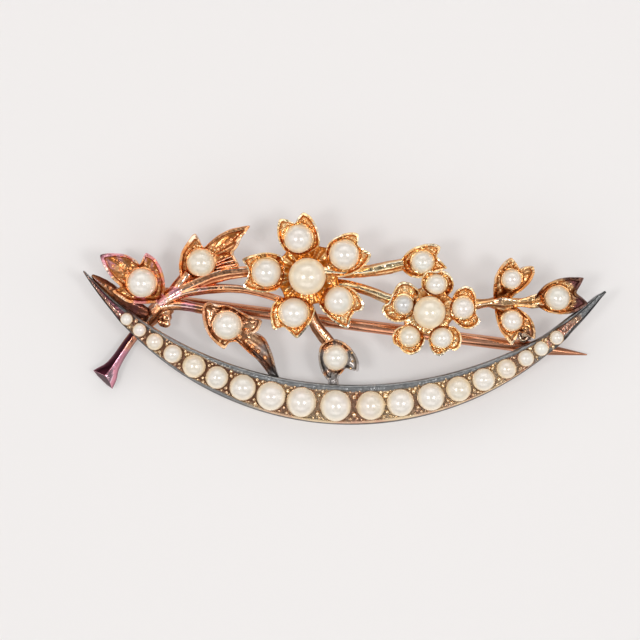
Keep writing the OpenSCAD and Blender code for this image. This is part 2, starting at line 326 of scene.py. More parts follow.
def metalFinish(name):
    # one painted layer darkens it with painted shade and, below zero, paints it pale with a painted
    # highlight; film, flush and plum say where it is tarnished, pink or purple
    spec = dict(zip(metalColumns, metals[name]))
    board = Board(bpy.data.materials.new(name))
    place = board.place()
    broad = board.noise(place, *grime["broad"])
    fine = board.noise(place, *grime["fine"])
    facet = board.add("ShaderNodeTexVoronoi", {"feature": "F1"}, {"Vector": place, "Scale": grime["facet"]})
    recess = board.layer("recess")

    def uneven(wire, broadShare, fineShare):
        return wire + (broad - 0.5) * broadShare + (fine - 0.5) * fineShare

    colour = board.mix(board.step(broad, 0.40, 0.68), solid(spec["light"]), solid(spec["rose"]))
    blush = board.step(uneven(board.layer("flush"), 1.2, 0.4), 0.35, 0.85)
    colour = board.mix(blush, colour, solid(spec["blush"]))
    # painted highlight: pale where the painted shade layer drops below zero
    colour = board.mix(board.step(recess * -1.0, 0.02, 0.3) * 0.75, colour, solid(spec["pale"]))
    # painted shade: towards the dark colour where that layer is high
    depth = board.step(uneven(recess, 0.25, 0.45), 0.12, 0.95)
    colour = board.mix(depth, colour, solid(spec["dark"]))
    plum = board.step(uneven(board.layer("plum"), 0.7, 0.5), 0.25, 0.8)
    colour = board.mix(plum * 0.88, colour, solid(grime["plum"]))
    tarnish = board.step(uneven(board.layer("film"), 0.7, 0.55), 0.4, 0.9) * spec["filmShare"]
    # the tarnish is darker where the painted shade lies
    shadedFilm = board.mix(depth * 0.8, solid(spec["film"]), solid(spec["film"], 0.3))
    colour = board.mix(tarnish, colour, shadedFilm)
    roughness = spec["gloss"] + (fine - 0.4) * 0.12 + tarnish * 0.13 + depth * 0.14
    if name == "pinGold":
        along = board.add("ShaderNodeSeparateXYZ", None, {0: place}, 0)
        point = board.step(along, *grime["point"]) * 0.95
        colour = board.mix(point, colour, solid(grime["pointColour"]))
        roughness = roughness + point * 0.1
    return board.finish({
        "Base Color": colour, "Metallic": 1.0, "Roughness": roughness,
        "Normal": board.bump(facet * 0.9 + fine * 0.5 + broad * 0.5, spec["hammer"], 0.00008),
    })


pearlTones = {
    # body, clouded tone and the warm painted reflection of the gold setting at the rim
    "pearlCream": ((0.715, 0.637, 0.53), (0.70, 0.545, 0.37), (1.0, 0.80, 0.50)),
    "pearlWhite": ((0.715, 0.66, 0.595), (0.70, 0.575, 0.44), (1.0, 0.83, 0.60)),
    "pearlBright": ((0.745, 0.69, 0.625), (0.73, 0.615, 0.49), (1.0, 0.86, 0.64)),
    "pearlIvory": ((0.77, 0.67, 0.53), (0.76, 0.57, 0.36), (1.0, 0.77, 0.46)),
    "pearlGrey": ((0.56, 0.54, 0.52), (0.44, 0.40, 0.36), (0.70, 0.60, 0.50)),
}


nacre = {
    "cloud": 900.0, "bloom": 330.0,  # scales of the clouding and of the tinted patches
    "rosy": (0.78, 0.65, 0.62), "greenish": (0.68, 0.72, 0.62),
    "sheen": (1.0, 0.86, 0.64),
}


def pearlFinish(name):
    bright, deep, goldReflection = pearlTones[name]
    board = Board(bpy.data.materials.new(name))
    place = board.place()
    cloud = board.noise(place, nacre["cloud"], 3.0)
    bloom = board.noise(place, nacre["bloom"], 2.0)
    colour = board.mix(board.step(cloud, 0.5, 0.85) * 0.5, solid(bright), solid(deep))
    colour = board.mix(board.step(bloom, 0.5, 0.72) * 0.4, colour, solid(nacre["rosy"]))
    colour = board.mix(board.step(bloom, 0.46, 0.3) * 0.3, colour, solid(nacre["greenish"]))
    # painted reflection: the lower part of each pearl is tinted warm, as if mirroring its gold setting
    colour = board.mix(board.layer("rim") * 0.85, colour, solid(goldReflection))
    return board.finish({
        "Base Color": colour, "Metallic": 0.1, "Roughness": 0.3 + cloud * 0.08,
        "Coat Weight": 1.0, "Coat Roughness": 0.19, "Coat IOR": 1.9,
        "Sheen Weight": 0.8, "Sheen Roughness": 0.45, "Sheen Tint": solid(nacre["sheen"]),
        # a faint painted glow in the pearl's own colour, standing in for light through the nacre
        "Emission Color": colour, "Emission Strength": 0.05,
        "Normal": board.bump(cloud, 0.12, 0.00005),
    })


finishes = {name: metalFinish(name) for name in metals}
finishes.update({name: pearlFinish(name) for name in pearlTones})
print("finishes mixed")


# modelling kit


def smoothStep(value, low, high):
    share = min(max((value - low) / (high - low), 0.0), 1.0)
    return share * share * (3 - 2 * share)


def edit():
    bpy.ops.object.mode_set(mode="EDIT")


def leaveEdit():
    bpy.ops.object.mode_set(mode="OBJECT")


def cornerKey(place):
    return tuple(round(c * 1e7) for c in place)


def firstRing(points):
    # a circle whose corners are pulled to the points, in mm
    clearSelection()
    bpy.ops.mesh.primitive_circle_add(vertices=len(points), radius=mm, fill_type="NOTHING")
    piece = bpy.context.object
    for corner, point in zip(piece.data.vertices, points):
        corner.co = Vector(point) * mm
    edit()
    bpy.ops.mesh.select_all(action="SELECT")
    return piece


def nextRing(piece, before, after):
    # extrude the selected ring and put each new corner where it belongs
    bpy.ops.mesh.extrude_region_move()
    shape = bmesh.from_edit_mesh(piece.data)
    target = {cornerKey(Vector(p) * mm): Vector(q) * mm for p, q in zip(before, after)}
    for corner in shape.verts:
        if corner.select:
            corner.co = target[cornerKey(corner.co)]
    bmesh.update_edit_mesh(piece.data)


def ringStack(rings, hollow=False):
    # rings of equal count, skinned one after the other, then filled at both ends or closed round
    piece = firstRing(rings[0])
    if not hollow:
        bpy.ops.mesh.edge_face_add()
        bpy.ops.mesh.select_mode(type="EDGE")
    for before, after in zip(rings, rings[1:]):
        nextRing(piece, before, after)
    if hollow:
        bpy.ops.mesh.select_all(action="DESELECT")
        bpy.ops.mesh.select_non_manifold()
        bpy.ops.mesh.bridge_edge_loops()
    else:
        bpy.ops.mesh.edge_face_add()
    bpy.ops.mesh.select_all(action="SELECT")
    bpy.ops.mesh.normals_make_consistent(inside=False)
    leaveEdit()
    return piece


def paintRings(piece, layer, rings, values):
    # values[r][k] belongs to corner k of ring r, or values[r] to the whole ring
    found = {}
    for ring, row in zip(rings, values):
        for k, point in enumerate(ring):
            value = row[k] if isinstance(row, (list, tuple)) else row
            found[cornerKey(Vector(point) * mm)] = value
    layerValues = piece.data.attributes.new(layer, "FLOAT", "POINT")
    for corner in piece.data.vertices:
        layerValues.data[corner.index].value = found.get(cornerKey(corner.co), 0.0)


def shadedStack(rings, shades):
    piece = ringStack(rings)
    # the shades are painted shade, and below zero painted highlight
    paintRings(piece, "recess", rings, shades)
    return piece


def creaseRings(piece, rings, sharpness):
    # the edges that run round these rings stay sharp
    ringOf = {cornerKey(Vector(p) * mm): r for r, ring in enumerate(rings) for p in ring}
    found = [ringOf.get(cornerKey(corner.co)) for corner in piece.data.vertices]
    crease = piece.data.attributes.new("crease_edge", "FLOAT", "EDGE")
    for line in piece.data.edges:
        first, second = (found[v] for v in line.vertices)
        if first is not None and first == second:
            crease.data[line.index].value = sharpness


def applied(piece, kind, settings):
    modifier = piece.modifiers.new("shaping", kind)
    for name, value in settings.items():
        setattr(modifier, name, value)
    bpy.context.view_layer.objects.active = piece
    bpy.ops.object.modifier_apply(modifier=modifier.name)


def soften(piece, levels):
    applied(piece, "SUBSURF", {"levels": levels, "render_levels": levels})


def roundEdges(piece, width, segments):
    applied(piece, "BEVEL", {"width": width * mm, "segments": segments, "limit_method": "ANGLE"})


def joined(pieces):
    clearSelection()
    for piece in pieces:
        piece.select_set(True)
    bpy.context.view_layer.objects.active = pieces[0]
    bpy.ops.object.join()
    return bpy.context.object


def around(turns):
    return [Vector((math.cos(turn), math.sin(turn), 0)) for turn in turns]


def spokes(centre, ways, profile):
    # rings of corners: profile gives those on each way out from the centre as (out, height, shade)
    columns = []
    for k, way in enumerate(ways):
        spots = [(centre + way * out, height, shade) for out, height, shade in profile(k, way)]
        columns.append([((spot.x, spot.y, height), shade) for spot, height, shade in spots])
    rings = [[corner for corner, shade in ring] for ring in zip(*columns)]
    shades = [[shade for corner, shade in ring] for ring in zip(*columns)]
    return rings, shades


def paint(piece, **layers):
    # each layer is one value, or a rule that gives it at a point of the flat brooch, in mm
    for layer, rule in layers.items():
        values = piece.data.attributes.new(layer, "FLOAT", "POINT")
        for corner in piece.data.vertices:
            values.data[corner.index].value = rule(corner.co / mm) if callable(rule) else rule


def finishPiece(piece, name, finish, flat=True, angle=40):
    clearSelection()
    piece.select_set(True)
    bpy.context.view_layer.objects.active = piece
    if flat:
        piece.data.transform(layDown)
    bpy.ops.object.shade_smooth_by_angle(angle=math.radians(angle))
    piece.name = name
    piece.data.name = name
    piece.data.materials.clear()
    piece.data.materials.append(finishes[finish])
    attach(piece, "brooch")


# pearls

pearls = {
    "segments": 44,
    "rings": 24,
    "squash": (0.985, 1.01),  # smallest and largest share of the round size
    "dents": 3,
    "dent": 0.03,  # share of the radius that a pearl is pressed in by
    # the painted reflection of the gold setting comes in between these heights
    "rim": (0.85, 0.25),  # heights, as shares of the radius, between which the warm rim comes in
    "crescent": ["pearlCream", "pearlWhite", "pearlBright", "pearlBright"],
    "spray": ["pearlCream", "pearlWhite", "pearlWhite", "pearlBright"],
    "finish": {
        "small_flower_pearl_5": "pearlGrey", "large_flower_pearl_0": "pearlIvory",
        "small_flower_pearl_0": "pearlIvory",
    },
}


def makePearl(node):
    low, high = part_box(node)
    centre, radius = (low + high) / 2, (high.x - low.x) / 2
    clearSelection()
    bpy.ops.mesh.primitive_uv_sphere_add(
        segments=pearls["segments"], ring_count=pearls["rings"], radius=radius, location=(0, 0, 0)
    )
    piece = bpy.context.object
    edit()
    bpy.ops.mesh.select_all(action="SELECT")
    wide, deep = (random.uniform(*pearls["squash"]) for axis in "xy")
    bpy.ops.transform.resize(value=(wide, deep, pearls["squash"][0]))
    shape = bmesh.from_edit_mesh(piece.data)
    for press in range(pearls["dents"]):
        side = Vector((random.uniform(-1, 1), random.uniform(-1, 1), random.uniform(-0.2, 0.8)))
        side.normalize()
        deep = radius * pearls["dent"] * random.uniform(0.3, 1)
        for corner in shape.verts:
            corner.co -= side * deep * smoothStep(corner.co.normalized().dot(side), 0.5, 1.0)
    turn = Matrix.Rotation(random.uniform(0, math.tau), 4, "Z")
    bmesh.ops.transform(shape, matrix=turn, verts=shape.verts)
    bmesh.ops.translate(shape, vec=centre, verts=shape.verts)
    bmesh.update_edit_mesh(piece.data)
    leaveEdit()
    names = pearls["crescent" if node.startswith("crescent") else "spray"]
    finish = pearls["finish"].get(node, random.choice(names))
    # painted reflection of the gold setting, warm towards the lower part of the pearl
    paint(piece, rim=lambda p: smoothStep((p.z * mm - centre.z) / radius, *pearls["rim"]))
    finishPiece(piece, "dressed_" + node, finish, flat=False, angle=80)
    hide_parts(node)


pearlNodes = sorted(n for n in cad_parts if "_pearl_" in n)
for node in pearlNodes:
    makePearl(node)
print("pearls set:", len(pearlNodes))


# crescent

crescent = {
    "centre": (0.55, 17.35),  # of the outer edge
    "turn": -2.14,  # degrees from straight down to the widest place
    "outerR": 26.4,
    "offset": 9.65,  # from that centre to the inner edge's
    "innerR": 32.4,
    "blunt": 0.24,  # how much wider the right horn stays, between these angles
    "bluntFades": ((311, 319), (326.3, 324.3)),
    "ends": (209.25, 326.2),  # degrees about the centre
    "stations": 200,
    "top": 1.9,
    "upper": (0.8, 1.15),  # heights between which the sides turn into the face
}


def innerReach(angle):
    lean = math.radians(angle - 90 - crescent["turn"])
    side = crescent["offset"] * math.sin(lean)
    grow, fade = crescent["bluntFades"]
    blunt = crescent["blunt"] * smoothStep(angle, *grow) * smoothStep(angle, *fade)
    return crescent["offset"] * math.cos(lean) + math.sqrt(crescent["innerR"] ** 2 - side ** 2) - blunt


def crescentPoint(angle, inward, z):
    x, y = crescent["centre"]
    reach = crescent["outerR"] - inward
    turn = math.radians(angle)
    return x + reach * math.cos(turn), y + reach * math.sin(turn), z


def crescentAngle(p):
    # the angle of a point about the centre, and how far in from the outer edge it is
    dx, dy = p.x - crescent["centre"][0], p.y - crescent["centre"][1]
    return math.degrees(math.atan2(dy, dx)) % 360, crescent["outerR"] - math.hypot(dx, dy)


flatten = layDown.inverted()


def flatPearl(node):
    low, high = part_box(node)
    centre = flatten @ ((low + high) / 2)
    return centre / mm, (high.x - low.x) / 2 / mm


crescentPearls = [flatPearl("crescent_pearl_%d" % i) for i in range(1, 20)]
# each pearl's angle, how far in from the outer edge it sits, and its radius
pearlRow = [crescentAngle(centre) + (radius,) for centre, radius in crescentPearls]


def rowAt(angle, width):
    # middle and half width of the row of pearls at an angle, narrowing towards the horns
    first, last = pearlRow[0], pearlRow[-1]
    if angle <= first[0] or angle >= last[0]:
        near = first if angle <= first[0] else last
        away = smoothStep(abs(angle - near[0]), 0.5, 4)
        middle = near[1] + (width / 2 - near[1]) * away
        return middle, near[2] + (width * 0.27 - near[2]) * away
    for (turn, inward, radius), (nextTurn, nextInward, nextRadius) in zip(pearlRow, pearlRow[1:]):
        if turn <= angle <= nextTurn:
            share = (angle - turn) / (nextTurn - turn)
            return inward + (nextInward - inward) * share, radius + (nextRadius - radius) * share


def crescentRing(angle):
    width = crescent["outerR"] - innerReach(angle)
    thin = smoothStep(width, 0.0, 1.2)
    top = crescent["top"] - 0.38 * (1 - thin)
    middle, half = rowAt(angle, width)
    first = max(min(middle - half - 0.03, width * 0.4), width * 0.1)
    last = min(max(middle + half * 0.86, width * 0.6), width * 0.9)
    fine = min(0.05, width * 0.03)
    sunk = 0.11 * thin + 0.22 * smoothStep(angle, 222, 214) + 0.12 * smoothStep(angle, 312, 316)
    plate = top - sunk
    under = min(0.3, width * 0.2)
    ends = 1 - smoothStep(min(angle - crescent["ends"][0], crescent["ends"][1] - angle), 0, 2.5)
    top -= 0.12 * ends
    base = 1.02 * (1 - smoothStep(width, 0.0, 2.2)) + 0.2 * ends  # the horns rise and thin out below
    rows = [
        (under * 0.4, base), (0.0, base + 0.15), (0.0, max(top - 0.75, base + 0.25)),
        (fine, max(top - 0.6, base + 0.35)), (first * 0.36, max(top - 0.3, base + 0.45)),
        (first - fine * 2, top - 0.03), (first - fine, top), (first, top - 0.03),
        (first + fine, plate + 0.01), (middle, plate + 0.02), (last - fine, plate + 0.01),
        (last, top - 0.09), (last + fine * 1.5, top - 0.04), ((last + width) / 2, top),
        (width - fine * 3, top - 0.07), (width - fine, top - 0.14), (width, top - 0.28),
        (width - under * 0.5, max(0.8, base + 0.12)), (width - under, base),
    ]
    return [crescentPoint(angle, inward, z) for inward, z in rows]


def crescentPlace(p):
    angle, inward = crescentAngle(p)
    width = max(crescent["outerR"] - innerReach(angle), 0.05)
    return angle, width, inward


# each streak's fades along the horn in degrees, its place across the width, its wave and how fast
# that runs, its outer and inner half width, and its strength
streaks = {
    # the copper and silver streaks also paint highlight lines on the crescent
    "copper": [
        ([(228, 221)], 0.36, (0, 0), (0.14, 0.06), 1),
        ([(308, 312), (321, 317)], 0.52, (0.1, 1.7), (0.13, 0.05), 1),
    ],
    "silver": [([(272, 256)], 0.93, (0, 0), (0.075, 0.03), 1)],
    "flush": [
        ([(224, 219)], 0.36, (0, 0), (0.2, 0.1), 1),
        ([(306, 311), (320, 316)], 0.55, (0, 0), (0.3, 0.18), 1),
    ],
    "plum": [
        ([(226, 220)], 0.6, (0, 0), (0.16, 0.08), 1), ([(226, 220)], 0.14, (0, 0), (0.12, 0.05), 1),
        ([(262, 244)], 0.95, (0, 0), (0.07, 0.03), 0.9), ([(262, 244)], 0.84, (0, 0), (0.1, 0.04), 0.5),
        ([(307, 312), (322, 318)], 0.72, (0.25, 1.3), (0.16, 0.05), 0.8),
    ],
}


def streak(layer, angle, share):
    # the strongest of a layer's streaks at a place
    value = 0.0
    for fades, middle, (wave, fast), soft, strength in streaks[layer]:
        here = strength * smoothStep(abs(share - middle + wave * math.sin(angle * fast)), *soft)
        for fade in fades:
            here *= smoothStep(angle, *fade)
        value = max(value, here)
    return value


def crescentShadeAndHighlight(p):
    # painted shade on the sunk plate, along the outer edge, at the steps round the pearls, over the inner
    # side of the left half and low on the sides, lifted into a painted highlight along the copper and
    # silver streaks
    angle, width, inward = crescentPlace(p)
    middle, half = rowAt(angle, width)
    plate = smoothStep(abs(inward - middle), half, half - 0.12) * (0.66 + 0.3 * smoothStep(angle, 262, 246))
    outer = smoothStep(inward, 0.3, 0.16) * smoothStep(p.z, *crescent["upper"])
    step = smoothStep(abs(abs(inward - middle) - half), 0.12, 0.03) * 0.6
    left = smoothStep(angle, 268, 248) * smoothStep(inward, middle + half * 0.7, middle + half * 0.9) * 0.8
    dark = max(plate, outer, step, left, smoothStep(p.z, 1.3, 0.9) * 0.36)
    paintedHighlight = max(streak("copper", angle, inward / width), streak("silver", angle, inward / width))
    return dark * (1 - paintedHighlight) - 0.25 * paintedHighlight


def crescentFilm(p):
    angle, width, inward = crescentPlace(p)
    share = inward / width
    middle, half = rowAt(angle, width)
    outer = max(
        smoothStep(angle, 262, 246) * smoothStep(inward, middle - half * 0.9, middle - half * 1.1) * 0.95,
        smoothStep(angle, 300, 312) * smoothStep(share, 0.34, 0.22),
        smoothStep(inward, 0.27, 0.13),
    ) * smoothStep(p.z, *crescent["upper"])
    inner = smoothStep(inward, middle + half * 0.8, middle + half * 1.02) * smoothStep(angle, 236, 250)
    ridge = smoothStep(abs(share - 0.8), 0.1, 0.04) * smoothStep(angle, 240, 226)
    tips = max(smoothStep(angle, 317.5, 321), smoothStep(angle, 213, 210.5) * 0.8)
    gaps = 0.34 * smoothStep(angle, 262, 240)
    side = smoothStep(p.z, 1.4, 1.1) * (0.3 + 0.32 * smoothStep(p.z, 0.5, 1.0))
    grey = max(inner, outer, ridge, tips, gaps, side) * (1 - 0.6 * streak("copper", angle, share))
    return max(grey, streak("silver", angle, share))


def crescentFlush(p):
    angle, width, inward = crescentPlace(p)
    return max(streak("flush", angle, inward / width), 0.4)


def crescentPlum(p):
    angle, width, inward = crescentPlace(p)
    plum, copper, silver = (streak(name, angle, inward / width) for name in ("plum", "copper", "silver"))
    return plum * (1 - max(copper, silver))


def makeCrescent():
    first, last = crescent["ends"]
    count = crescent["stations"]
    piece = ringStack([crescentRing(first + (last - first) * i / count) for i in range(count + 1)])
    soften(piece, 1)
    paint(piece, plum=crescentPlum, recess=crescentShadeAndHighlight, film=crescentFilm, flush=crescentFlush)
    finishPiece(piece, "crescentShell", "crescentGold")
    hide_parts("gold_mount")


makeCrescent()

collars = {"lobes": 13, "scallop": 0.04, "wall": 0.06, "height": 0.1}


def makeCollars(name, spots, finish):
    # one ring of small claws round each pearl
    lobes, wall, high = collars["lobes"], collars["wall"], collars["height"]
    turns = [math.tau * k / (lobes * 4) for k in range(lobes * 4)]
    pieces = []
    for centre, radius in spots:
        def profile(k, way):
            wave = collars["scallop"] * math.cos(lobes * turns[k])
            stops = [
                (wall, -0.3), (wall, -0.02), (wall * 0.7, high * 0.6 + wave * 0.5),
                (wave * 0.4 - 0.02, high + wave), (wave * 0.4 - 0.07, high * 0.7 + wave), (-0.1, -0.3),
            ]
            return [(radius + out, centre.z + height, 0) for out, height in stops]

        rings, shades = spokes(centre, around(turns), profile)
        pieces.append(ringStack(rings, hollow=True))
    piece = joined(pieces)
    soften(piece, 1)
    # painted shade dims the claws round each pearl
    paint(piece, recess=0.55, film=0.3, flush=0.0)
    finishPiece(piece, name, finish, angle=60)


makeCollars("crescentCollars", crescentPearls, "crescentGold")
print("crescent shaped")


# flowers, buds and leaves: one cup round each pearl, with its own outline

outlines = {
    # x, y, z of the corners of each raised edge, mm
    "large_flower_pearl_1": [
        (-2.62, 6.31, 1.9), (-2.08, 6.82, 2.2), (-2.17, 7.85, 2.45), (-2.46, 8.64, 2.55),
        (-2.92, 9.28, 2.65), (-3.51, 9.57, 2.75), (-3.96, 9.2, 2.55), (-4.23, 8.69, 2.3),
        (-4.89, 9.03, 2.6), (-5.46, 9.03, 2.7), (-5.75, 8.29, 2.5), (-5.65, 7.23, 2.3),
        (-5.16, 6.31, 1.95), (-4.43, 5.94, 1.75), (-3.57, 5.94, 1.75),
    ],
    "large_flower_pearl_2": [
        (-0.47, 3.95, 1.95), (0.47, 4.2, 2.2), (1.33, 4.66, 2.4), (1.97, 5.33, 2.55),
        (2.21, 6.05, 2.75), (1.72, 6.44, 2.5), (1.16, 6.8, 2.3), (1.22, 7.31, 2.55), (1.16, 7.74, 2.7),
        (0.62, 7.92, 2.6), (-0.1, 7.8, 2.5), (-0.82, 7.46, 2.4), (-1.33, 7, 2.2), (-1.61, 6.36, 1.95),
        (-1.59, 5.42, 1.75), (-1.25, 4.43, 1.75),
    ],
    "large_flower_pearl_3": [
        (-2.19, 1.61, 1.85), (-1.82, 1.05, 2.15), (-1.16, 0.4, 2.4), (-0.34, -0.13, 2.55),
        (0.3, -0.27, 2.75), (0.6, 0.55, 2.5), (0.82, 0.95, 2.3), (1.46, 1.17, 2.6), (1.65, 1.7, 2.7),
        (1.4, 2.32, 2.55), (0.9, 2.95, 2.45), (0.04, 3.31, 2.3), (-0.82, 3.2, 2.1), (-1.61, 3, 1.85),
        (-1.94, 2.24, 1.75),
    ],
    "large_flower_pearl_4": [
        (-3.14, 1.9, 1.75), (-4.43, 2.16, 1.75), (-5.55, 2.22, 1.9), (-6.18, 1.64, 2.3),
        (-6.35, 0.8, 2.45), (-6.22, -0.04, 2.6), (-5.91, -0.45, 2.75), (-5.15, -0.26, 2.3),
        (-4.55, -0.86, 2.55), (-4.03, -1.13, 2.75), (-3.3, -0.48, 2.55), (-2.75, 0.36, 2.4),
        (-2.47, 1.22, 2.1),
    ],
    "large_flower_pearl_5": [
        (-5.21, 3.7, 1.75), (-5.12, 4.99, 1.75), (-5.33, 5.8, 1.95), (-6.12, 6.13, 2.3),
        (-6.97, 6.19, 2.45), (-7.96, 5.94, 2.6), (-8.67, 5.57, 2.75), (-8.39, 5.01, 2.45),
        (-8.2, 4.52, 2.3), (-8.33, 3.97, 2.4), (-8.63, 3.37, 2.7), (-8.24, 3.01, 2.55),
        (-7.51, 2.8, 2.45), (-6.54, 2.71, 2.3), (-5.69, 2.92, 2),
    ],
    "small_flower_pearl_1": [
        (9.29, 2.85, 2.05), (9.39, 3.45, 2.35), (9.22, 4.03, 2.5), (8.79, 4.5, 2.6), (8.28, 4.64, 2.6),
        (7.86, 4.4, 2.4), (7.42, 4.67, 2.6), (6.95, 4.51, 2.55), (6.59, 3.93, 2.4), (6.62, 3.03, 2.1),
        (7.36, 2.42, 1.8), (8.87, 2.37, 1.8),
    ],
    "small_flower_pearl_2": [
        (9.42, 0.17, 2), (9.84, -0.18, 2.2), (10.34, -0.45, 2.4), (10.98, -0.38, 2.5),
        (11.47, -0.05, 2.55), (11.67, 0.39, 2.6), (11.27, 0.96, 2.4), (11.32, 1.73, 2.35),
        (11.27, 2.53, 2.5), (10.93, 3.1, 2.6), (10.34, 3.32, 2.6), (9.7, 3, 2.45), (9.4, 2.55, 2.1),
        (9.08, 1.65, 1.8), (9.08, 0.61, 1.8),
    ],
    "small_flower_pearl_3": [
        (7.22, -1.33, 2), (7.3, -1.93, 2.3), (7.58, -2.5, 2.5), (8.09, -2.75, 2.6),
        (8.54, -2.63, 2.55), (9.02, -2.18, 2.4), (9.48, -2.32, 2.6), (9.91, -2.02, 2.55),
        (10.11, -1.34, 2.5), (9.92, -0.67, 2.4), (9.42, -0.26, 2), (8.65, -0.33, 1.8),
        (7.53, -0.85, 1.8),
    ],
    "small_flower_pearl_4": [
        (6.84, -1.02, 1.8), (5.9, -0.25, 1.8), (5.03, -0.25, 2.05), (4.45, -0.45, 2.35),
        (4.1, -1.03, 2.5), (4.23, -1.68, 2.55), (4.68, -2, 2.4), (5.09, -2.45, 2.55),
        (5.73, -2.66, 2.6), (6.38, -2.44, 2.5), (6.79, -1.89, 2.3), (6.97, -1.42, 2),
    ],
    "small_flower_pearl_5": [
        (6.53, 2.6, 2.1), (6.22, 3.1, 2.45), (5.62, 3.57, 2.6), (4.91, 3.64, 2.65), (4.44, 3.29, 2.6),
        (4.08, 2.57, 2.5), (3.86, 1.9, 2.35), (3.3, 1.55, 2.6), (3.26, 1.08, 2.6), (3.69, 0.47, 2.55),
        (4.38, 0.15, 2.4), (5.29, 0.19, 2.1), (6.03, 0.79, 1.8), (6.15, 2.08, 1.8),
    ],
    "bud_pearl_1": [
        (4.83, 4.84, 1.85), (5.1, 4.41, 1.9), (5.63, 4.04, 2), (6.32, 3.86, 2.1), (6.88, 4.06, 2.15),
        (7.56, 4.42, 2.2), (8.2, 4.56, 2.3), (8.84, 4.82, 2.5), (8.42, 5.3, 2.35), (7.91, 5.78, 2.15),
        (8.16, 6.25, 2.4), (8.19, 6.67, 2.6), (7.66, 6.95, 2.5), (6.81, 6.88, 2.4), (5.84, 6.54, 2.3),
        (5.2, 6.02, 2.2), (4.78, 5.33, 1.9),
    ],
    "bud_pearl_2": [
        (-0.44, -5.72, 2.1), (-0.62, -5.34, 2.08), (-0.57, -4.9, 2.0), (-0.18, -4.35, 2.0),
        (0.13, -3.96, 2), (0.56, -4.06, 2.15), (1.2, -4.18, 2.5), (1.27, -3.42, 2.45),
        (0.99, -2.69, 2.4), (0.47, -2.02, 2.3), (-0.13, -1.6, 2.2), (-0.73, -1.4, 2.1),
        (-1.5, -1.49, 2.1), (-2.11, -2.03, 2.2), (-2.25, -2.94, 2.2), (-2.1, -3.9, 2.1),
        (-1.78, -4.6, 2.0), (-1.38, -5.08, 2.0), (-1.34, -5.36, 2.08), (-1.5, -5.72, 2.1),
    ],
    "leaf_pearl_1": [
        (-15.4, 2.9, 2.1), (-15.42, 3.78, 2.25), (-15.67, 4.74, 2.35), (-16.18, 5.61, 2.4),
        (-16.96, 6.16, 2.55), (-17.26, 5.68, 2.3), (-17.56, 5.04, 2.05), (-17.91, 5.5, 2.25),
        (-18.76, 5.98, 2.35), (-20.13, 6.08, 2.45), (-20.89, 5.9, 2.6), (-20.6, 4.83, 2.4),
        (-19.89, 3.77, 2.2), (-19.22, 3.1, 2), (-20.02, 2.78, 2.2), (-18.78, 1.82, 2.1),
        (-18.01, 1.66, 2.05), (-16.9, 1.63, 2), (-15.84, 1.78, 1.8), (-15.57, 2.26, 1.9),
    ],
    "leaf_pearl_2": [
        (-12.95, 3.81, 1.9), (-11.74, 4.04, 2), (-10.88, 4.35, 2.05), (-9.93, 4.7, 2.1),
        (-8.97, 4.95, 2.35), (-9.54, 6.03, 2.05), (-9.06, 6.71, 2.3), (-8.84, 7.33, 2.45),
        (-8.15, 8.38, 2.7), (-9.65, 8.2, 2.5), (-10.69, 7.71, 2.4), (-11.38, 7.18, 2.3),
        (-12.08, 6.51, 2.1), (-12.41, 7.24, 2.4), (-12.71, 7.74, 2.65), (-13.08, 7.53, 2.6),
        (-13.6, 6.82, 2.45), (-14.04, 6.02, 2.3), (-14.22, 4.97, 2.15), (-14.07, 3.77, 1.9),
    ],
    "leaf_pearl_3": [
        (-12.22, 0.6, 2.3), (-11.98, -0.51, 2.3), (-11.55, -1.24, 2.3), (-10.91, -1.88, 2.35),
        (-10.3, -2.25, 2.5), (-9.89, -1.7, 2.1), (-9.24, -1.66, 2.1), (-8.12, -2.71, 2.25),
        (-6.92, -3.64, 2.1), (-6.45, -4.2, 1.9), (-6.35, -4.85, 1.8), (-5.6, -4.95, 1.8),
        (-5.84, -4.2, 1.95), (-6.2, -2.72, 2.15), (-6.83, -1.26, 2.2), (-7.75, -0.95, 2.05),
        (-7.36, -0.61, 2.25), (-7.04, 0.26, 2.3), (-8.04, 0.58, 2.15), (-8.99, 1.03, 2),
        (-9.93, 1.5, 2), (-10.88, 1.59, 2), (-11.69, 1.81, 2.2), (-12.16, 1.54, 2.2),
    ],
    "trefoil_pearl_1": [
        (13.99, 1.8, 1.8), (14.6, 2.36, 2), (15.33, 2.9, 2.15), (15.93, 3.53, 2.3), (16.32, 4.4, 2.4),
        (16.17, 5, 2.55), (15.5, 4.93, 2.35), (15.09, 4.68, 2.1), (14.68, 5.35, 2.4),
        (14.28, 5.71, 2.65), (13.71, 5.42, 2.55), (13.23, 4.79, 2.45), (12.86, 4.06, 2.4),
        (12.75, 3, 2.2), (12.83, 1.9, 1.9), (13.38, 1.6, 1.8),
    ],
    "trefoil_pearl_2": [
        (13.13, 1.7, 1.8), (12.91, 1.1, 1.9), (13.05, 0.33, 2.2), (13.35, -0.59, 2.35),
        (13.82, -1.23, 2.45), (14.41, -1.87, 2.6), (14.8, -1.24, 2.4), (14.98, -0.76, 2.1),
        (15.43, -0.85, 2.1), (15.93, -1.09, 2.3), (16.39, -1.34, 2.5), (16.44, -0.62, 2.4),
        (16.24, 0.1, 2.35), (15.82, 0.7, 2.2), (15.18, 1.16, 2), (14.07, 1.75, 1.8),
    ],
    "trefoil_pearl_3": [
        (16.82, 1.27, 1.9), (17.55, 0.91, 2.05), (18.52, 0.77, 2.15), (19.5, 0.86, 2.2),
        (20.24, 1.19, 2.2), (20.9, 1.74, 2.45), (20.48, 2.2, 2.3), (19.9, 2.64, 2.1),
        (20.21, 3.32, 2.45), (20.41, 3.93, 2.7), (19.95, 4.03, 2.55), (19.23, 4.05, 2.45),
        (18.25, 3.87, 2.35), (17.28, 3.41, 2.25), (16.69, 2.76, 2), (16.4, 2.14, 1.8),
        (16.4, 1.69, 1.8),
    ],
}

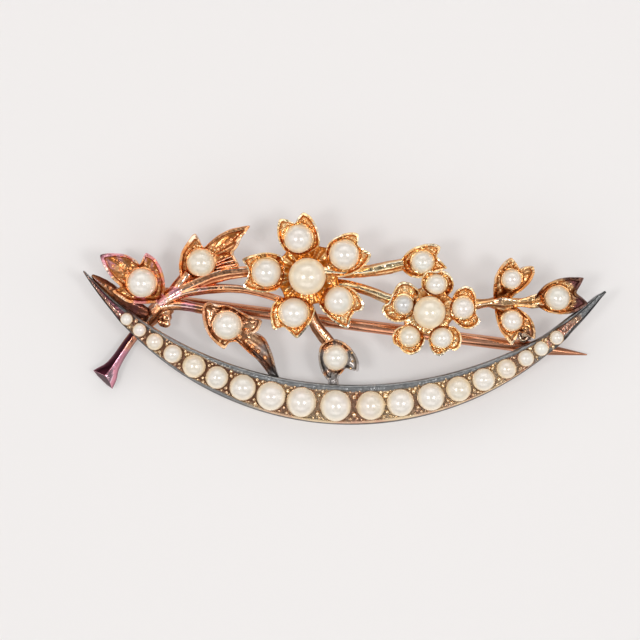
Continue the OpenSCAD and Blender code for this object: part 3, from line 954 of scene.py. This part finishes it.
cups = {
    "split": 3,  # corners added to each side of an outline
    # width of the raised edge, its slope inwards, how much lower than the outline it is, depth of
    # the flutes, all in mm, how dark the painted shade in the hollow is, and how far the edge's patches are
    # lowered towards painted highlight
    "kinds": {
        "large": (0.15, 0.03, 0.02, 0.085, 0.34, 0.12), "small": (0.14, 0.03, 0.08, 0.085, 0.38, 0.1),
        "bud": (0.2, 0.08, 0.22, 0.06, 0.38, 0.06), "leaf": (0.27, 0.13, 0.22, 0.03, 0.52, 0.0),
        "trefoil": (0.24, 0.12, 0.22, 0.035, 0.5, 0.04),
    },
    "wall": 0.26,  # width of the step down inside it
    "dish": 0.5,  # depth of the hollow between the edge and the pearl
    "collar": 0.05,  # metal seen round the pearl
    "crease": 0.8,  # how sharp the raised edge stays when the cup is smoothed
    "jitter": 0.018,  # unevenness of handwork
    "sharpen": 0.05,  # how far the tips are drawn out
}
# leaves whose edges are purple, and how far from the pearl that starts, mm
plumLeaves = {"trefoil_pearl_3": -0.2, "leaf_pearl_1": 2.0, "trefoil_pearl_2": 0.8, "bud_pearl_2": 0.9}
cupPieces = []


def between(a, b, c, d, t):
    # on the smooth curve through four points, from b to c
    return 0.5 * (
        2 * b + (c - a) * t + (2 * a - 5 * b + 4 * c - d) * t * t + (3 * b - a - 3 * c + d) * t ** 3
    )


def splitOutline(points, parts):
    # a rounded closed outline, with parts corners between two of the points
    result = []
    for i in range(len(points)):
        a, b, c, d = (Vector(points[(i + k - 1) % len(points)]) for k in range(4))
        for k in range(parts):
            t = k / parts
            result.append(b.lerp(c, t).lerp(between(a, b, c, d, t), 0.4))
    return result


def makeCup(node, outline, finish):
    centre, radius = flatPearl(node)
    kind = node.split("_")[0]
    rimWidth, slopeDepth, drop, fluteDepth, dim, rimHighlightLift = cups["kinds"][kind]
    edge = splitOutline(outline, cups["split"])
    arms = [Vector((x - centre.x, y - centre.y, 0)) for x, y, z in edge]
    back = 0.75 if kind in ("large", "small") else 0.4
    collarZ = centre.z - 0.16
    inner = radius + cups["collar"]
    side = 1

    def profile(k, way):
        # from the middle of the back out to the raised edge, over it and down to the pearl
        nonlocal side
        x, y, z = edge[k]
        top = z - drop
        reach = max(arms[k].length * (1.01 + cups["sharpen"] * smoothStep(z, 2.5, 2.75)), inner + 0.08)
        room = reach - inner
        along = Vector(edge[(k + 1) % len(edge)]) - Vector(edge[k - 1])
        along = Vector((along.x, along.y, 0)).normalized()
        oblique = max(abs(along.x * way.y - along.y * way.x), 0.35)  # 1 where the edge faces the pearl
        rim = min(rimWidth / oblique * (1 + 0.6 * smoothStep(z, 2.4, 2.7)), room * 0.44)
        wall = min(cups["wall"] / oblique, room * 0.3)
        deep = min(cups["dish"], room * 0.85)
        side = random.choice((-1, 1)) if k % 3 else -side
        flute = fluteDepth * side * min(room, 1.0) * random.uniform(0.5, 1.2)
        slope = slopeDepth * min(room * 1.5, 1)
        cut = random.uniform(0.0, 0.1) * min(room * 2, 1)
        low = min(top - deep, collarZ + 0.12)
        foot = reach - rim - wall

        def rough():
            return random.uniform(-1, 1) * cups["jitter"] * min(room * 2, 1)

        # painted shade deepens towards the heart of the flower
        heartSide = smoothStep(z, 2.0, 1.8) * 0.5
        # patches of painted highlight and painted shade along the raised edge
        rimPaintedLight = 0.42 * math.sin(2.3 * x + 0.8 * y + 0.6) * math.sin(1.9 * y - 0.7 * x) - rimHighlightLift
        # the third number of each stop is painted shade: darker under the edge, in the hollow and next to
        # the pearl, and changing with the side each flute leans to
        stops = [
            (0.2 * radius, back + 0.05, 0.8), (reach * 0.6, back, 0.7), (reach * 0.88, back + 0.28, 0.6),
            (reach - 0.05, top - 0.42, 0.45), (reach + rough(), top - 0.1, 0.3),
            (reach - rim * 0.2, top + rough(), rimPaintedLight), (reach - rim, top - slope - cut, rimPaintedLight * 0.6 + 0.06),
            (reach - rim - wall * 0.2, top - slope - deep * 0.35 - cut, 0.85),
            (foot + rough(), low + 0.08 + flute * 0.5, dim + 0.15 + side * 0.25),
            (inner + (foot - inner) * 0.5, low + 0.04 + flute + rough(), dim + side * 0.2),
            (inner + min(0.14, room * 0.2), collarZ - 0.04 + flute * 0.4, 0.85),
            (inner, collarZ + 0.1, 0.12), (radius - 0.05, collarZ + 0.12, 0.3),
            (radius * 0.6, centre.z - radius * 0.92, 1.0),
        ]
        return [
            (out, height, min(dark + heartSide + random.uniform(-0.12, 0.12), 1.0))
            for out, height, dark in stops
        ]

    rings, shades = spokes(centre, [arm.normalized() for arm in arms], profile)
    piece = shadedStack(rings, shades)
    creaseRings(piece, rings[5:7], cups["crease"])
    soften(piece, 2)
    start = radius + plumLeaves.get(node, 99)

    def plumRule(p):
        return smoothStep(math.hypot(p.x - centre.x, p.y - centre.y), start, start + 1.3)

    paint(piece, film=filmRule, flush=flushRule, plum=plumRule)
    finishPiece(piece, "cup_" + node, finish, angle=22)
    cupPieces.append(piece)


def patches(spots, base=0.0):
    # strongest of a few soft round patches: (x, y, radius, strength)
    def rule(p):
        value = base
        for x, y, wide, strength in spots:
            away = math.hypot(p.x - x, p.y - y)
            value = max(value, strength * smoothStep(away, wide, wide * 0.3))
        return value
    return rule


# where the metal is tarnished, and where it went pink in the heat
filmSpots = [
    (-6.6, -3.0, 2.4, 0.75), (-7.2, 0.2, 1.2, 0.6), (-5.3, -4.6, 2.6, 1.0), (0.9, -3.4, 2.1, 1.0),
    (-2.1, -3.4, 2.0, 1.0), (20.3, 2.6, 2.0, 0.7), (15.8, -1.2, 1.5, 0.7), (-9.5, 6.5, 2.0, 0.3),
    (-0.6, -1.7, 0.9, 0.8), (-1.0, -5.2, 1.7, 1.0), (13.6, 1.7, 1.4, 0.7),
]
flushSpots = [
    (-19.6, 5.9, 1.3, 1.0), (-20.4, 4.4, 1.1, 0.9), (-16.0, 4.9, 1.0, 0.9), (-15.7, 3.6, 0.8, 0.8),
    (-17.6, 1.9, 0.9, 0.9), (-18.4, 5.6, 0.8, 0.7), (-20.5, 5.4, 1.6, 0.9), (-16.5, 5.8, 1.2, 0.8),
    (-15.7, 2.0, 0.9, 1.0), (-14.6, 2.6, 1.0, 0.9), (-13.4, 1.4, 1.2, 0.8), (-12.2, 2.9, 1.0, 0.6),
    (-20.9, 3.9, 1.2, 0.8), (-8.5, -1.5, 2.0, 0.4),
]
filmRule = patches(filmSpots, 0.05)
flushRule = patches(flushSpots, 0.0)

cupFinishes = {
    "large": "flowerGold", "small": "paleGold", "bud": "paleGold", "leaf": "leafGold",
    "trefoil": "amberGold", "bud_pearl_2": "greyedGold", "leaf_pearl_3": "greyedGold",
}
for node, outline in outlines.items():
    finish = cupFinishes.get(node, cupFinishes[node.split("_")[0]])
    makeCup(node, outline, finish)
print("petals, buds and leaves cupped:", len(outlines))

hearts = {
    "large_flower_pearl_0": {
        "reach": 3.0, "petals": 5, "first": 103.5, "wave": 0.35, "dark": 0.9, "finish": "heartGold",
        "corners": 100, "flute": 0.06,
    },
    "small_flower_pearl_0": {
        "reach": 2.35, "petals": 5, "first": 76.5, "wave": 0.25, "dark": 0.55, "finish": "paleGold",
        "corners": 100, "flute": 0.06,
    },
}


def makeHeart(node, spec):
    # the dish that the petals spring from, fluted towards the heart pearl
    centre, radius = flatPearl(node)
    turns = [math.tau * k / spec["corners"] for k in range(spec["corners"])]

    def profile(k, way):
        wave = math.cos(spec["petals"] * (turns[k] - math.radians(spec["first"])))
        reach = spec["reach"] + spec["wave"] * wave
        side = random.uniform(-1, 1)
        flute = spec["flute"] * side
        # painted shade of the fluted dish, changing from flute to flute, darkest at its walls and round the
        # heart pearl
        dark = spec["dark"] - 0.1 + 0.45 * side
        seat = radius * 0.82
        stops = [
            (0.3, 0.9, 1.0), (reach * 0.8, 0.9, 1.0), (reach, 1.3, 1.0), (reach, 1.6, 0.9),
            (reach * 0.96, 1.72, 0.8), (seat + (reach - seat) * 0.6, 1.66 + flute, dark),
            (seat + (reach - seat) * 0.3, 1.56 + flute, dark),
            (seat + 0.09, 1.5, 1.0), (seat + 0.02, 1.7, 0.5), (seat - 0.12, 1.68, 0.8),
        ]
        return [(out, height, shade + random.uniform(-0.1, 0.1)) for out, height, shade in stops]

    rings, shades = spokes(centre, around(turns), profile)
    piece = shadedStack(rings, shades)
    soften(piece, 1)
    paint(piece, film=0.0, flush=0.0)
    finishPiece(piece, "heart_" + node, spec["finish"])


for node, spec in hearts.items():
    makeHeart(node, spec)
print("flower hearts set")


# stems

stems = {
    # x, y, z, half width and half height at each point, mm
    "stemUpper": [
        (-16.0, 1.55, 1.25, 0.5, 0.42), (-14.8, 2.4, 1.45, 0.62, 0.45), (-13.3, 3.15, 1.5, 0.62, 0.42),
        (-11.0, 4.1, 1.45, 0.6, 0.38), (-9.0, 4.4, 1.4, 0.5, 0.35), (-7.2, 4.5, 1.35, 0.5, 0.35),
    ],
    "stemMiddle": [
        (-15.6, 1.7, 1.4, 0.4, 0.4), (-14.0, 2.55, 1.65, 0.42, 0.4), (-12.0, 2.9, 1.5, 0.42, 0.36),
        (-9.6, 2.95, 1.3, 0.35, 0.3), (-7.5, 2.6, 1.25, 0.3, 0.3), (-5.0, 1.8, 1.2, 0.3, 0.3),
    ],
    "stemLower": [
        (-15.9, 1.4, 1.2, 0.5, 0.42), (-14.6, 1.55, 1.3, 0.5, 0.4), (-13.2, 1.35, 1.25, 0.42, 0.36),
        (-11.6, 1.0, 1.2, 0.42, 0.34),
    ],
    "stemLeaf": [
        (-15.0, 2.3, 1.3, 0.45, 0.4), (-14.2, 3.2, 1.3, 0.55, 0.4), (-13.3, 4.3, 1.25, 0.6, 0.4),
    ],
    "stemBud": [
        (-2.4, 4.6, 1.3, 0.5, 0.4), (0.2, 4.35, 1.3, 0.5, 0.4), (2.2, 4.5, 1.3, 0.5, 0.4),
        (3.6, 4.75, 1.3, 0.55, 0.4), (5.2, 5.1, 1.3, 0.5, 0.4),
    ],
    "stemFlower": [
        (-1.6, 3.45, 1.2, 0.4, 0.35), (0.4, 3.2, 1.25, 0.4, 0.35), (2.2, 2.7, 1.3, 0.42, 0.35),
        (3.8, 2.05, 1.35, 0.45, 0.35), (5.4, 1.5, 1.3, 0.5, 0.35),
    ],
    "stemLow": [
        (-3.4, 1.9, 1.1, 0.5, 0.38), (-2.75, 0.3, 1.15, 0.5, 0.38), (-2.1, -0.8, 1.15, 0.52, 0.38),
        (-1.2, -1.9, 1.1, 0.55, 0.38),
    ],
    "stemNeck": [
        (-18.1, -1.2, -0.25, 0.55, 0.45), (-17.3, -0.3, -0.05, 0.7, 0.5),
        (-16.6, 0.5, 0.35, 0.75, 0.5), (-15.9, 1.3, 0.85, 0.75, 0.5), (-15.3, 2.0, 1.1, 0.6, 0.45),
    ],
    "hingeKnuckle": [
        (-15.6, 1.5, 0.75, 0.6, 0.4), (-15.4, 0.95, 0.62, 0.66, 0.42), (-15.42, 0.6, 0.55, 0.5, 0.34),
        (-15.48, 0.3, 0.55, 0.62, 0.42), (-15.52, 0.0, 0.5, 0.5, 0.34),
        (-15.58, -0.25, 0.45, 0.56, 0.38), (-15.66, -0.55, 0.4, 0.3, 0.25),
    ],
    "hornLobe": [
        (-21.75, 4.06, 1.1, 0.1, 0.12), (-21.25, 3.62, 1.1, 0.36, 0.28),
        (-20.6, 3.05, 1.05, 0.58, 0.32), (-20.0, 2.43, 1.0, 0.75, 0.34),
        (-19.3, 1.78, 0.95, 0.85, 0.34), (-18.45, 1.2, 0.85, 0.8, 0.34),
        (-17.6, 0.86, 0.7, 0.62, 0.34), (-17.0, 0.7, 0.6, 0.4, 0.3),
    ],
    "leafFluteLow": [
        (-11.0, 4.72, 1.6, 0.12, 0.2), (-10.2, 4.95, 1.72, 0.14, 0.24), (-9.25, 5.1, 1.86, 0.12, 0.2),
    ],
    "leafFluteMiddle": [
        (-11.0, 4.98, 1.6, 0.12, 0.2), (-10.25, 5.25, 1.7, 0.14, 0.24), (-9.4, 5.45, 1.82, 0.12, 0.2),
    ],
    "leafFluteHigh": [
        (-11.0, 5.22, 1.6, 0.12, 0.2), (-10.3, 5.52, 1.68, 0.13, 0.22), (-9.6, 5.78, 1.76, 0.11, 0.18),
    ],
    "stemTrefoil": [
        (10.6, 1.5, 1.3, 0.6, 0.4), (11.6, 1.6, 1.3, 0.42, 0.36), (12.4, 1.7, 1.3, 0.36, 0.36),
        (13.2, 1.72, 1.36, 0.62, 0.44), (13.8, 1.72, 1.4, 0.7, 0.46), (14.6, 1.74, 1.3, 0.42, 0.38),
        (15.4, 1.75, 1.3, 0.38, 0.36), (16.2, 1.8, 1.3, 0.56, 0.38), (17.2, 1.95, 0.95, 0.66, 0.3),
    ],
}


def smoothRoute(route, parts):
    # a smooth curve through the points, with parts steps between two of them
    result = []
    last = len(route) - 1
    for i in range(last):
        corners = [Vector(route[min(max(i + k, 0), last)]) for k in (-1, 0, 1, 2)]
        result += [between(*corners, k / parts) for k in range(parts)]
    result.append(Vector(route[-1]))
    return result


def crossWays(rows, i):
    # along the route at its point i, and to the left and up from there
    ahead = Vector(rows[min(i + 1, len(rows) - 1)][:3]) - Vector(rows[max(i - 1, 0)][:3])
    ahead.normalize()
    left = Vector((0, 0, 1)).cross(ahead).normalized()
    return ahead, left, ahead.cross(left)


def makeStem(name, route, finish, dim):
    rows = smoothRoute(route, stemMake["steps"])
    rings, shades = [], []
    for i, row in enumerate(rows):
        ahead, left, up = crossWays(rows, i)
        ring, shade = [], []
        for k in range(stemMake["sides"]):
            turn = math.tau * k / stemMake["sides"]
            ridge = math.cos(3 * turn + 0.9 + 0.12 * i) + 0.55 * math.cos(8 * turn - 0.09 * i)
            # painted shade between the ribs and on the underside, and a painted highlight along the ridges
            # where it drops below zero
            shade.append(dim - 0.46 * ridge + 0.55 * smoothStep(math.sin(turn), 0.3, -0.4))
            rib = 1 + stemMake["ribs"] * ridge + 0.03 * math.sin(1.7 * i)
            across, height = row[3] * rib * math.cos(turn), row[4] * rib * math.sin(turn)
            ring.append(tuple(Vector(row[:3]) + left * across + up * height))
        rings.append(ring)
        shades.append(shade)
    piece = shadedStack(rings, shades)
    soften(piece, 1)
    paint(piece, film=filmRule, flush=flushRule)
    if name == "hornLobe":
        # a painted shadow, laid in the purple layer, darkens the lobe towards its end by the stem neck
        start, stop, dark = stemMake["shadow"]
        paint(piece, plum=lambda p: dark * smoothStep(p.x, start, stop))
    finishPiece(piece, name, finish)


stemMake = {
    # dim is the painted shade laid over the whole of each stem
    "steps": 5, "sides": 24, "ribs": 0.15, "dim": 0.28,
    # a painted shadow
    "shadow": (-21.0, -18.8, 0.42),  # where the horn lobe darkens to nearly black, and how much
}
stemFinishes = {
    "stemBud": "flowerGold", "stemFlower": "flowerGold", "stemTrefoil": "amberGold",
    "hornLobe": "greyedGold", "stemLow": "greyedGold",
}
# stems given more or less painted shade than the rest
stemDims = {"hornLobe": 1.1, "stemLow": 0.4}
for name, route in stems.items():
    makeStem(name, route, stemFinishes.get(name, "stemGold"), stemDims.get(name, stemMake["dim"]))

mainStem = {
    # middle, half width and height of the ridge at each point, mm
    "route": [
        (-20.84, -5.03, 0.62, 1.16, 0.66), (-20.5, -4.6, 0.6, 0.92, 0.62),
        (-20.12, -4.05, 0.54, 0.64, 0.58), (-19.55, -3.2, 0.35, 0.5, 0.54),
        (-18.8, -2.1, 0.0, 0.47, 0.48), (-18.1, -1.2, -0.25, 0.45, 0.45), (-17.5, -0.5, -0.2, 0.4, 0.4),
    ],
    # left or right and up at each corner of the bar, as shares of those, and its painted shade, dark on the
    # left facet and underneath and pale along the ridge; the shade None is a painted highlight on the right
    # facet that brightens towards the cut
    "corners": [
        (1, -0.1, 0.6), (0.6, 0.42, 1.05), (0.16, 0.93, 0.95), (0.05, 1, 0.1), (-0.06, 0.97, -0.25),
        (-0.52, 0.7, None), (-1, -0.1, 0.7), (-0.5, -0.8, 0.95), (0.5, -0.8, 1.0),
    ],
    # how far the cut is drawn along the stem at its left, its right and its ridge
    "cut": (-0.04, -0.28, 0.3),
    "cutLow": -0.45,  # how far down the cut goes on leaning
    "cutFades": (1, 6),  # steps from the end over which it straightens
    "litFades": (16, 4),  # and over which the right side brightens, from and by how much
    "lit": (0.3, 0.65),
    # the cut is in painted shade, ringed by a painted highlight at its edge
    "cutRim": 0.9,  # the dark part of the cut, as a share of it
    "cutEdgeHighlight": -0.3,
    "cutShade": 1.1,
}


def makeMainStem():
    # a three-sided bar with a flared end, cut aslant so that the cut shows from above
    rows = smoothRoute(mainStem["route"], stemMake["steps"])
    rows.insert(1, rows[0].lerp(rows[1], 0.15))
    leftCut, rightCut, ridgeCut = mainStem["cut"]
    rings, shades = [], []
    for i, row in enumerate(rows):
        ahead, left, up = crossWays(rows, i)
        keep = 1 - smoothStep(i, *mainStem["cutFades"])
        lit = mainStem["lit"][0] - mainStem["lit"][1] * smoothStep(i, *mainStem["litFades"])
        ring = []
        for a, b, shade in mainStem["corners"]:
            slant = (leftCut + rightCut) / 2 + a * (leftCut - rightCut) / 2
            slant += max(b, mainStem["cutLow"]) * (ridgeCut - (leftCut + rightCut) / 2)
            spot = Vector(row[:3]) + left * (row[3] * a) + up * (row[4] * b) + ahead * (slant * keep)
            ring.append(tuple(spot))
        rings.append(ring)
        shades.append([lit if shade is None else shade for a, b, shade in mainStem["corners"]])
    # painted highlight round the edge of the cut, painted shade over the cut
    shades[0] = mainStem["cutEdgeHighlight"]
    middle = sum((Vector(p) for p in rings[0]), Vector()) / len(rings[0])
    rings.insert(0, [tuple(middle.lerp(Vector(p), mainStem["cutRim"])) for p in rings[0]])
    shades.insert(0, mainStem["cutShade"])
    piece = shadedStack(rings, shades)
    roundEdges(piece, 0.03, 2)
    paint(piece, film=0.15, flush=lambda p: smoothStep(p.y, -1.7, -3.2))
    finishPiece(piece, "mainStem", "endGold", angle=25)


makeMainStem()
print("stems laid")


# grains

grains = {
    # out from the middle of the row, along it, and share of the full size
    "gap": [(0.62, 0.02, 1.3), (0.93, -0.27, 0.8), (0.9, 0.24, 0.95), (1.0, 0.5, 0.55)],
    "smallGap": [(0.72, 0.0, 1.2), (0.98, -0.25, 0.6)],
    "leaf": [
        (-19.85, 4.95), (-19.15, 4.62), (-18.6, 4.42), (-11.3, 5.9), (-10.8, 6.4), (-10.27, 6.8),
        (-9.67, 7.25), (-9.1, 7.7), (-8.98, -1.24), (-8.46, -1.6), (-7.95, -2.1), (-7.43, -2.55),
        (-6.83, -3.1),
    ],
    "leafSize": 0.2, "petalSize": 0.12,
    "size": (0.105, 0.065),  # of the crescent's grains: least, and more with the pearl's radius
    "squash": 0.85,
}


def petalPlaces():
    # a few beads between the pearl and the tips of each petal and leaf
    places = []
    for node, outline in outlines.items():
        centre, radius = flatPearl(node)
        for x, y, z in outline:
            if z > 2.3:
                away = Vector((x - centre.x, y - centre.y, 0))
                room = away.length - radius
                share = radius + 0.16 + room * random.uniform(0.1, 0.35)
                if room > 0.5:
                    turned = Matrix.Rotation(random.uniform(-0.15, 0.15), 3, "Z") @ away.normalized()
                    places.append((centre.x + turned.x * share, centre.y + turned.y * share))
    return places


def makeGrains(name, spots, finish):
    # one bead, a little flat on top, modelled once and copied to each place
    clearSelection()
    bpy.ops.mesh.primitive_ico_sphere_add(subdivisions=2, radius=mm, location=(0, 0, 0))
    bead = bpy.context.object
    edit()
    bpy.ops.mesh.select_all(action="SELECT")
    bpy.ops.transform.resize(value=(1.0, 1.0, grains["squash"]))
    leaveEdit()
    beads = []
    for x, y, z, size in spots:
        copy = bead.copy()
        copy.data = bead.data.copy()
        copy.data.transform(Matrix.Diagonal((size, size * random.uniform(0.8, 1.1), size, 1)))
        copy.data.transform(Matrix.Rotation(random.uniform(0, math.tau), 4, "Z"))
        copy.data.transform(Matrix.Translation((x * mm, y * mm, z * mm)))
        bpy.context.collection.objects.link(copy)
        beads.append(copy)
    bpy.data.objects.remove(bead)
    piece = joined(beads)
    # painted shade dims all the beads
    paint(piece, recess=0.36, film=0.34, flush=0.1)
    finishPiece(piece, name, finish, angle=60)


def crescentGrains():
    # two or more beads near each rim between two pearls
    spots = []
    for (turn, inward, radius), (nextTurn, nextInward, nextRadius) in zip(pearlRow, pearlRow[1:]):
        share = radius / (radius + nextRadius)
        middle = turn + (nextTurn - turn) * share
        row = inward + (nextInward - inward) * share
        small = min(radius, nextRadius)
        size = grains["size"][0] + grains["size"][1] * small
        perMm = 1 / (math.radians(1) * (crescent["outerR"] - row))
        for side in (-1, 1):
            group = grains["gap"] if small > 0.7 else grains["smallGap"]
            for out, along, share in group:
                place = crescentPoint(
                    middle + (along * small / 1.1 + random.uniform(-0.05, 0.05)) * perMm,
                    row + side * (out * small + random.uniform(-0.05, 0.05)), 0,
                )
                bead = size * share * random.uniform(0.75, 1.15)
                spots.append((place[0], place[1], crescent["top"] - 0.05, bead))
    return spots


makeGrains("crescentGrains", crescentGrains(), "crescentGold")


def onCups(places, size):
    # drops a bead on the cup that lies under each place
    spots = []
    down = (layDown.to_3x3() @ Vector((0, 0, -1))).normalized()
    for x, y in places:
        start = layDown @ (Vector((x, y, 6)) * mm)
        for cup in cupPieces:
            hit, spot, normal, face = cup.ray_cast(start, down)
            if hit:
                height = (flatten @ spot).z / mm + size * 0.25
                spots.append((x, y, height, size * random.uniform(0.85, 1.1)))
                break
    return spots


makeGrains("leafGrains", onCups(grains["leaf"], grains["leafSize"]), "leafGold")
makeGrains("petalGrains", onCups(petalPlaces(), grains["petalSize"]), "flowerGold")
print("grains raised")


# hinge, catch and pin

pinLine = {"hinge": (-15.4, 1.6), "heading": -7.4, "depth": 0.62}
atHinge = (
    Matrix.Translation((pinLine["hinge"][0] * mm, pinLine["hinge"][1] * mm, -pinLine["depth"] * mm))
    @ Matrix.Rotation(math.radians(pinLine["heading"]), 4, "Z")
)

hinge = {"earR": 0.7, "earOut": 0.8, "earWidth": 0.4, "top": 1.1, "round": 0.06}


def makeEar(side):
    clearSelection()
    bpy.ops.mesh.primitive_cylinder_add(
        vertices=40, radius=hinge["earR"] * mm, depth=hinge["earWidth"] * mm,
        location=(0, side * hinge["earOut"] * mm, 0), rotation=(math.pi / 2, 0, 0),
    )
    bpy.ops.object.transform_apply(location=True, rotation=True)
    piece = bpy.context.object
    edit()
    shape = bmesh.from_edit_mesh(piece.data)
    for face in shape.faces:  # the faces that look up grow into the foot under the stems
        face.select = face.normal.z > 0.6
    bmesh.update_edit_mesh(piece.data)
    rise = hinge["top"] + pinLine["depth"] - hinge["earR"]
    bpy.ops.mesh.extrude_region_move(TRANSFORM_OT_translate={"value": (0, 0, rise * mm)})
    bpy.ops.mesh.select_all(action="SELECT")
    bpy.ops.mesh.normals_make_consistent(inside=False)
    leaveEdit()
    roundEdges(piece, hinge["round"], 3)
    piece.data.transform(atHinge)
    # painted shade dims the whole ear
    paint(piece, recess=0.5, film=0.4, flush=0.3)
    finishPiece(piece, "hingeEarUpper" if side > 0 else "hingeEarLower", "stemGold")


makeEar(-1)
makeEar(1)

catch = {
    "along": 30.8, "side": 0.75,  # its place from the hinge, mm
    "width": 0.95, "radius": 0.7, "wall": 0.34, "top": 1.1, "round": 0.08,
    "from": -98, "sweep": 188, "parts": 14,  # the bend, degrees
    "lip": 0.45,  # how much thinner the open end is
}


def makeCatch():
    # a strip of metal bent to a hook round the pin, open towards it
    width, wall = catch["width"], catch["wall"]
    middle = catch["radius"] - wall / 2
    rings = []
    for k in range(catch["parts"] + 1):
        turn = math.radians(catch["from"] + catch["sweep"] * k / catch["parts"])
        half = wall / 2 * (1 - catch["lip"] * smoothStep(k, 4, 0))
        corners = ((0, middle - half), (0, middle + half), (width, middle + half), (width, middle - half))
        rings.append([(x, reach * math.cos(turn), reach * math.sin(turn)) for x, reach in corners])
    hook = ringStack(rings)
    roundEdges(hook, catch["round"], 3)
    clearSelection()
    bpy.ops.mesh.primitive_cube_add(size=mm, location=(0, 0, 0))
    post = bpy.context.object
    height = pinLine["depth"] + catch["top"]
    post.data.transform(Matrix.Diagonal((width, wall, height, 1)))
    post.data.transform(Matrix.Translation((width / 2 * mm, middle * mm, height / 2 * mm)))
    roundEdges(post, catch["round"], 3)
    for part in (hook, post):
        part.data.transform(atHinge @ Matrix.Translation((catch["along"] * mm, catch["side"] * mm, 0)))
    piece = joined([hook, post])
    # painted shade dims the whole hook
    paint(piece, recess=0.3, film=0.6, flush=0.4)
    finishPiece(piece, "catchHook", "crescentGold")


makeCatch()

catchLoop = {
    "middle": (15.5, -1.2), "height": 0.75, "radius": 0.4, "wall": 0.17, "stretch": 1.15,
    "corners": (28, 16),  # round it and round its wire
}


def makeCatchLoop():
    # a small eye soldered on top of the hook
    x, y = catchLoop["middle"]
    sides, about = catchLoop["corners"]
    rings = []
    for k in range(about):
        turn = math.tau * k / about
        away = catchLoop["radius"] + catchLoop["wall"] * math.cos(turn)
        high = catchLoop["height"] + catchLoop["wall"] * math.sin(turn)
        rings.append([
            (x + away * math.cos(lap), y + away * catchLoop["stretch"] * math.sin(lap), high)
            for lap in (math.tau * m / sides for m in range(sides))
        ])
    piece = ringStack(rings, hollow=True)
    # painted shade dims the whole eye
    paint(piece, recess=0.2, film=0.6, flush=0.5)
    finishPiece(piece, "catchEye", "crescentGold", angle=60)


makeCatchLoop()

for node in ("pin_stem", "hinge_rivet"):
    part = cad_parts[node]
    part.data.materials.clear()
    part.data.materials.append(finishes["pinGold"])
    clearSelection()
    part.select_set(True)
    bpy.context.view_layer.objects.active = part
    bpy.ops.object.shade_smooth_by_angle(angle=math.radians(30))
print("hinge, catch and pin dressed")
